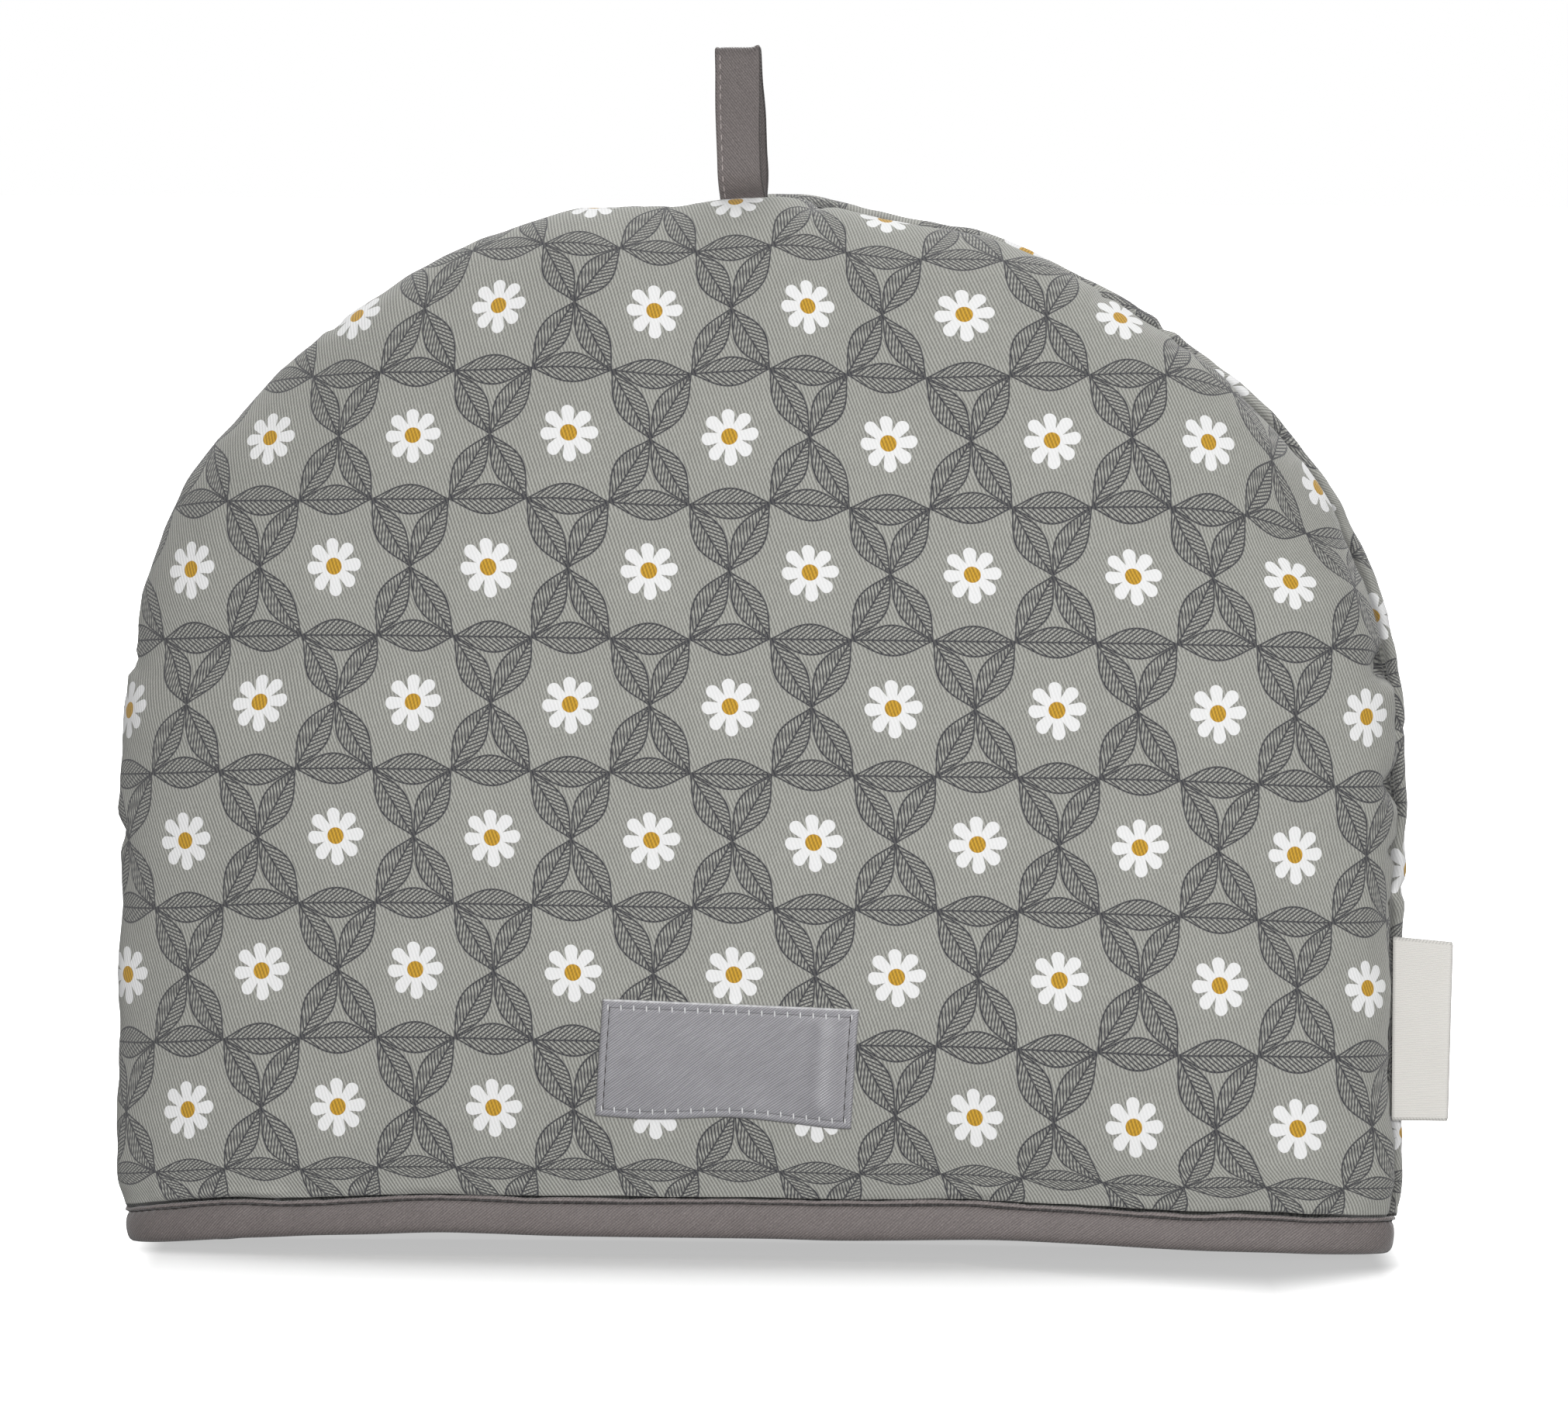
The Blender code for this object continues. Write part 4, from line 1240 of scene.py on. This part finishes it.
def make_tag(material):
    path = tag_path()
    steps = len(path) - 1
    cage, across, up, face = slab(steps, TAG_ROWS)
    index = np.rint(across * steps).astype(int)
    half = TAG_LAYER / 2 * rounded(up, 0.03)
    run = run_along(path)
    half = half + 0.04 * cloth_noise(run[index] / 6, up * 6, 9.9)
    spot = path[index] + path_frame(path)[index] * (half * (1 - 2 * face))[:, None]
    out = (spot[:, 0] - TAG_ROOT_X) / (TAG_REACH_X - TAG_ROOT_X)
    z = TAG_BOTTOM + (TAG_TOP - TAG_BOTTOM) * up - TAG_SLANT * out * up
    x = spot[:, 0] - TAG_SKEW * out * (1 - up)
    points = np.stack([x, spot[:, 1], z], axis=-1)
    flat = np.stack([run[index], up * (TAG_TOP - TAG_BOTTOM)], axis=-1)
    return finish_piece("folded_side_tag", cage, points, flat, [material]), run[-1]


class COSY_OT_tag(bpy.types.Operator):
    """Side tag: a bare ribbon folded double and caught in the seam"""
    bl_idname = "cosy.tag"
    bl_label = "Side tag"

    def execute(self, context):
        piece, size = make_tag(ribbon_material(context))
        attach(piece, "root")
        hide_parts("side_tag")
        return {"FINISHED"}


def sew(name, stitches, material):
    """Stitches as short rounded threads: middle, direction along, direction out, half length
    and half width, in millimetres."""
    cage = bmesh.new()
    for middle, along, out, half_length, half_width in stitches:
        along, out = Vector(along).normalized(), Vector(out)
        out = (out - out.dot(along) * along).normalized()
        beside = along.cross(out)
        turn = Matrix((along, beside, out)).transposed().to_4x4()
        size = Matrix.Diagonal((half_length * MM, half_width * MM, half_width * MM * 0.8, 1))
        place = Vector(middle) * MM + Vector((CENTRING_X * MM, 0, 0))
        bmesh.ops.create_uvsphere(cage, u_segments=8, v_segments=6, radius=1.0,
                                  matrix=Matrix.Translation(place) @ turn @ size
                                  @ Matrix.Rotation(math.pi / 2, 4, "Y"))
    for face in cage.faces:
        face.smooth = True
    bmesh.ops.recalc_face_normals(cage, faces=cage.faces[:])
    piece = add_object(name, cage, [material])
    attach(piece, "root")


# Half of a stitch, as a share of the way from one to the next, and half its width.
HEM_STITCH_SHARE, HEM_STITCH_WIDTH = 0.42, 0.25


def hem_stitches(pitch):
    """Stitches in the binding's groove, round the whole hem."""
    angles = np.linspace(-math.pi, math.pi, 4001)
    turns, count = stitch_turns(hem_run(angles), pitch)
    angle = np.interp(np.arange(count) + 0.5, turns, angles)
    cosine, sine = np.cos(angle), np.sin(angle)
    x, y = hem_section(cosine, sine, 0.42)
    wander = cloth_noise(np.arange(count) * 0.7, 0, 3.3)
    z = GROOVE_HEIGHT + groove_rise(hem_run(angle), x) + 0.08 * wander
    z = z + hem_lift(x, np.where(y > 0, BACK, FRONT), GROOVE_HEIGHT)
    for i in range(count):
        ahead = Vector((-sine[i] * BINDING_HALF_WIDTH, cosine[i] * BINDING_HALF_DEPTH, 0))
        ahead = ahead.normalized() + Vector((0, 0, 0.05 * wander[i]))
        out = (cosine[i] / BINDING_HALF_WIDTH, sine[i] / BINDING_HALF_DEPTH, 0)
        yield (x[i], y[i], z[i]), ahead, out, pitch * HEM_STITCH_SHARE, HEM_STITCH_WIDTH


LOOP_STITCH_PITCH, LABEL_TICKS, LABEL_SIDE_STITCHES = 2.6, 20, 9


def loop_stitches():
    """The tape's edge stitching, along both legs."""
    share = LOOP_STITCH_FROM_EDGE / LOOP_WIDTH
    _, size = loop_path()
    count = int(size / LOOP_STITCH_PITCH)
    for up in (number / count for number in range(1, count)):
        if abs(up - 0.5) < 0.02:
            continue
        for off in (-1, 1):
            here, far, ahead = (
                loop_place(np.array([share]), np.array([way]), np.array([off * away]))[0][0]
                for way, away in ((up, 0.52), (up, 2), (up + 0.02, 0.52)))
            yield here, ahead - here, far - here, 0.85, 0.17


def label_stitches():
    """Short upright stitches above and below, and a run of stitches down each side."""
    up_seam, side_seam = LABEL_SEAM / LABEL_HEIGHT, LABEL_SEAM / LABEL_WIDTH
    spots = [((number + 0.5) / LABEL_TICKS, height, True) for number in range(LABEL_TICKS)
             for height in (1 - up_seam, up_seam)]
    spots += [(side, (number + 0.8) / (LABEL_SIDE_STITCHES + 0.6), False)
              for number in range(LABEL_SIDE_STITCHES) for side in (side_seam, 1 - side_seam)]
    across, up, tall = (np.array(column) for column in zip(*spots))
    x, z = label_spot(across, up)
    lift = GAP + 0.15 + label_lift(across, up) + np.where(tall, 0.2, 0.02)
    here, out = front_skin(x, z, lift), front_skin(x, z, lift + 1)
    ahead = front_skin(x, z + 0.5, lift)
    for i in range(len(x)):
        half = 0.85 if tall[i] else 1
        yield bool(tall[i]), (here[i], ahead[i] - here[i], out[i] - here[i], half,
                              0.23 if tall[i] else 0.14)


class COSY_OT_stitches(bpy.types.Operator):
    """Sewing thread of the hem, the loop and the label"""
    bl_idname = "cosy.stitches"
    bl_label = "Stitches"

    def execute(self, context):
        trims = context.scene.cosy_trims
        dark = thread_material("dark_thread", trims.thread)
        light = thread_material("light_thread", trims.tick)
        grey = thread_material("grey_thread", scaled(trims.binding, 2.3))
        sew("hem_stitches", hem_stitches(trims.stitch / MM), dark)
        sew("loop_stitches", loop_stitches(), grey)
        label = list(label_stitches())
        sew("label_ticks", [row for tall, row in label if tall], light)
        sew("label_side_stitches", [row for tall, row in label if not tall], dark)
        return {"FINISHED"}


# ---- Stage ----

# Middle of the view, right of and above the foot of the body's middle line.
VIEW_RIGHT, VIEW_UP, VIEW_WIDTH = 7.5, 144.6, 417.3
FLOOR_REACH, FLOOR_BOUNCE, CLIP_END = 40, 0.25, 120
# Painted light: how much the floor glows for the camera, and how much in the even painted
# shadow under and behind the cosy.
FLOOR_GLOW, SHADE_GLOW = 0.15, 0.50
# Painted glow whitens the floor beyond the hem's ends, as the camera sees them, so its shade
# ends with the hem: middle, reach, width of its fade.
SHADE_MIDDLE, SHADE_REACH, SHADE_FADE = 3.1, 167.2, 15
# The even painted shadow's front edge and how soft it is; between two places on the right
# it reaches further out and is softer, by these shares of the way in from those places. Then
# its back edge and how soft that is.
SHADE_FRONT, SHADE_SOFT, WIDER_BY, SOFTER_BY = -60, 44, 1.4, 1.5
WIDER_FROM, WIDER_TO, WIDER_TO_SHARE = 50, 172, 2.2
SHADE_BACK, SHADE_BACK_SOFT = 210, 120
# Brightness of the studio at floor level, how much more there is overhead, by how much that
# grows towards the back, and how much more there is in front and on the right.
WALL_LIGHT, CEILING_LIGHT, CEILING_BEHIND, FRONT_LIGHT, RIGHT_LIGHT = 0.11, 0.42, 0.9, 0.36, 0.06
# Lights from far away: way round the cosy from the front, height and softness in degrees,
# strength.
SUNS = {"key": (11, 7, 14, 2.85), "back": (186, 60.5, 35, 2.05)}


def studio_world():
    """A white room, brighter overhead and in front; seen directly it is plain white."""
    world = bpy.data.worlds.new("studio")
    world.use_nodes = True
    tree = world.node_tree
    background = tree.nodes["Background"]
    background.inputs["Color"].default_value = (1.0, 1.0, 1.0, 1.0)
    right, behind, height = split(texture_place(tree, "Generated"), 3)
    overhead = height.math("MAXIMUM", 0)
    glow = overhead * overhead * (behind * CEILING_BEHIND + 1) * CEILING_LIGHT + WALL_LIGHT
    ahead = behind.math("MINIMUM", 0)
    glow = glow + right * RIGHT_LIGHT + ahead * ahead * FRONT_LIGHT
    seen = seen_by_camera(tree)
    plug(tree, seen.math("MULTIPLY", 1 - glow) + glow, background.inputs["Strength"])
    return world


def toward(turn, climb):
    """Direction from the cosy to a place so far round it from the front and so high up."""
    return Vector((math.sin(turn) * math.cos(climb), -math.cos(turn) * math.cos(climb),
                   math.sin(climb)))


def add_sun(name, azimuth, elevation, softness, strength):
    data = bpy.data.lights.new(name, "SUN")
    data.energy, data.angle = strength, math.radians(softness)
    light = linked(name, data)
    away = toward(math.radians(azimuth), math.radians(elevation))
    light.rotation_euler = away.to_track_quat("Z", "Y").to_euler()
    light.location = away * 2


def add_camera(settings):
    """A camera that looks at the middle of the view, and the one that the scene uses."""
    data = bpy.data.cameras.new("camera")
    data.lens, data.sensor_width, data.clip_end = settings.lens, 36, CLIP_END
    back = toward(settings.azimuth, settings.elevation)
    level = Vector((math.cos(settings.azimuth), math.sin(settings.azimuth), 0))
    upright = back.cross(level)
    right = level * math.cos(settings.roll) + upright * math.sin(settings.roll)
    above = back.cross(right)
    middle = (Vector((CENTRING_X, 0, 0)) + right * VIEW_RIGHT + above * VIEW_UP) * MM
    spot = Matrix((right, above, back)).transposed().to_4x4()
    spot.translation = middle + back * (VIEW_WIDTH * MM * settings.lens / data.sensor_width)
    camera = linked("camera", data)
    camera.matrix_world = spot
    bpy.context.scene.camera = camera


class COSY_OT_stage(bpy.types.Operator):
    """Pale floor, soft studio light and the camera"""
    bl_idname = "cosy.stage"
    bl_label = "Stage"

    def execute(self, context):
        cage = bmesh.new()
        bmesh.ops.create_grid(cage, x_segments=8, y_segments=8, size=FLOOR_REACH)
        floor = add_object("studio_floor", cage, [floor_material(context)])

        context.scene.view_settings.view_transform = "Standard"
        context.scene.world = studio_world()
        for name, sun in SUNS.items():
            add_sun(name, *sun)
        add_camera(context.scene.cosy_stage)
        return {"FINISHED"}


# ---- Panel, registration and the run ----

class COSY_PT_build(bpy.types.Panel):
    """Lists the cosy's settings and the steps that build it"""
    bl_idname = "COSY_PT_build"
    bl_label = "Tea cosy"
    bl_space_type = "VIEW_3D"
    bl_region_type = "UI"
    bl_category = "Tea cosy"

    def draw(self, context):
        for name, settings in SETTINGS.items():
            box = self.layout.box()
            for field in settings.__annotations__:
                box.prop(getattr(context.scene, name), field)
        for operator in OPERATORS:
            self.layout.operator(operator.bl_idname)


SETTINGS = {"cosy_print": CosyPrint, "cosy_trims": CosyTrims, "cosy_stage": CosyStage}
OPERATORS = (COSY_OT_panels, COSY_OT_binding, COSY_OT_loop, COSY_OT_label, COSY_OT_tag,
             COSY_OT_stitches, COSY_OT_stage)
CLASSES = (*SETTINGS.values(), *OPERATORS, COSY_PT_build)


def register():
    for new_class in CLASSES:
        bpy.utils.register_class(new_class)
    for name, settings in SETTINGS.items():
        setattr(bpy.types.Scene, name, bpy.props.PointerProperty(type=settings))


def unregister():
    for name in SETTINGS:
        delattr(bpy.types.Scene, name)
    for old_class in reversed(CLASSES):
        bpy.utils.unregister_class(old_class)


def main():
    register()
    for operator in OPERATORS:
        group, name = operator.bl_idname.split(".")
        getattr(getattr(bpy.ops, group), name)()


if __name__ == "__main__":
    main()
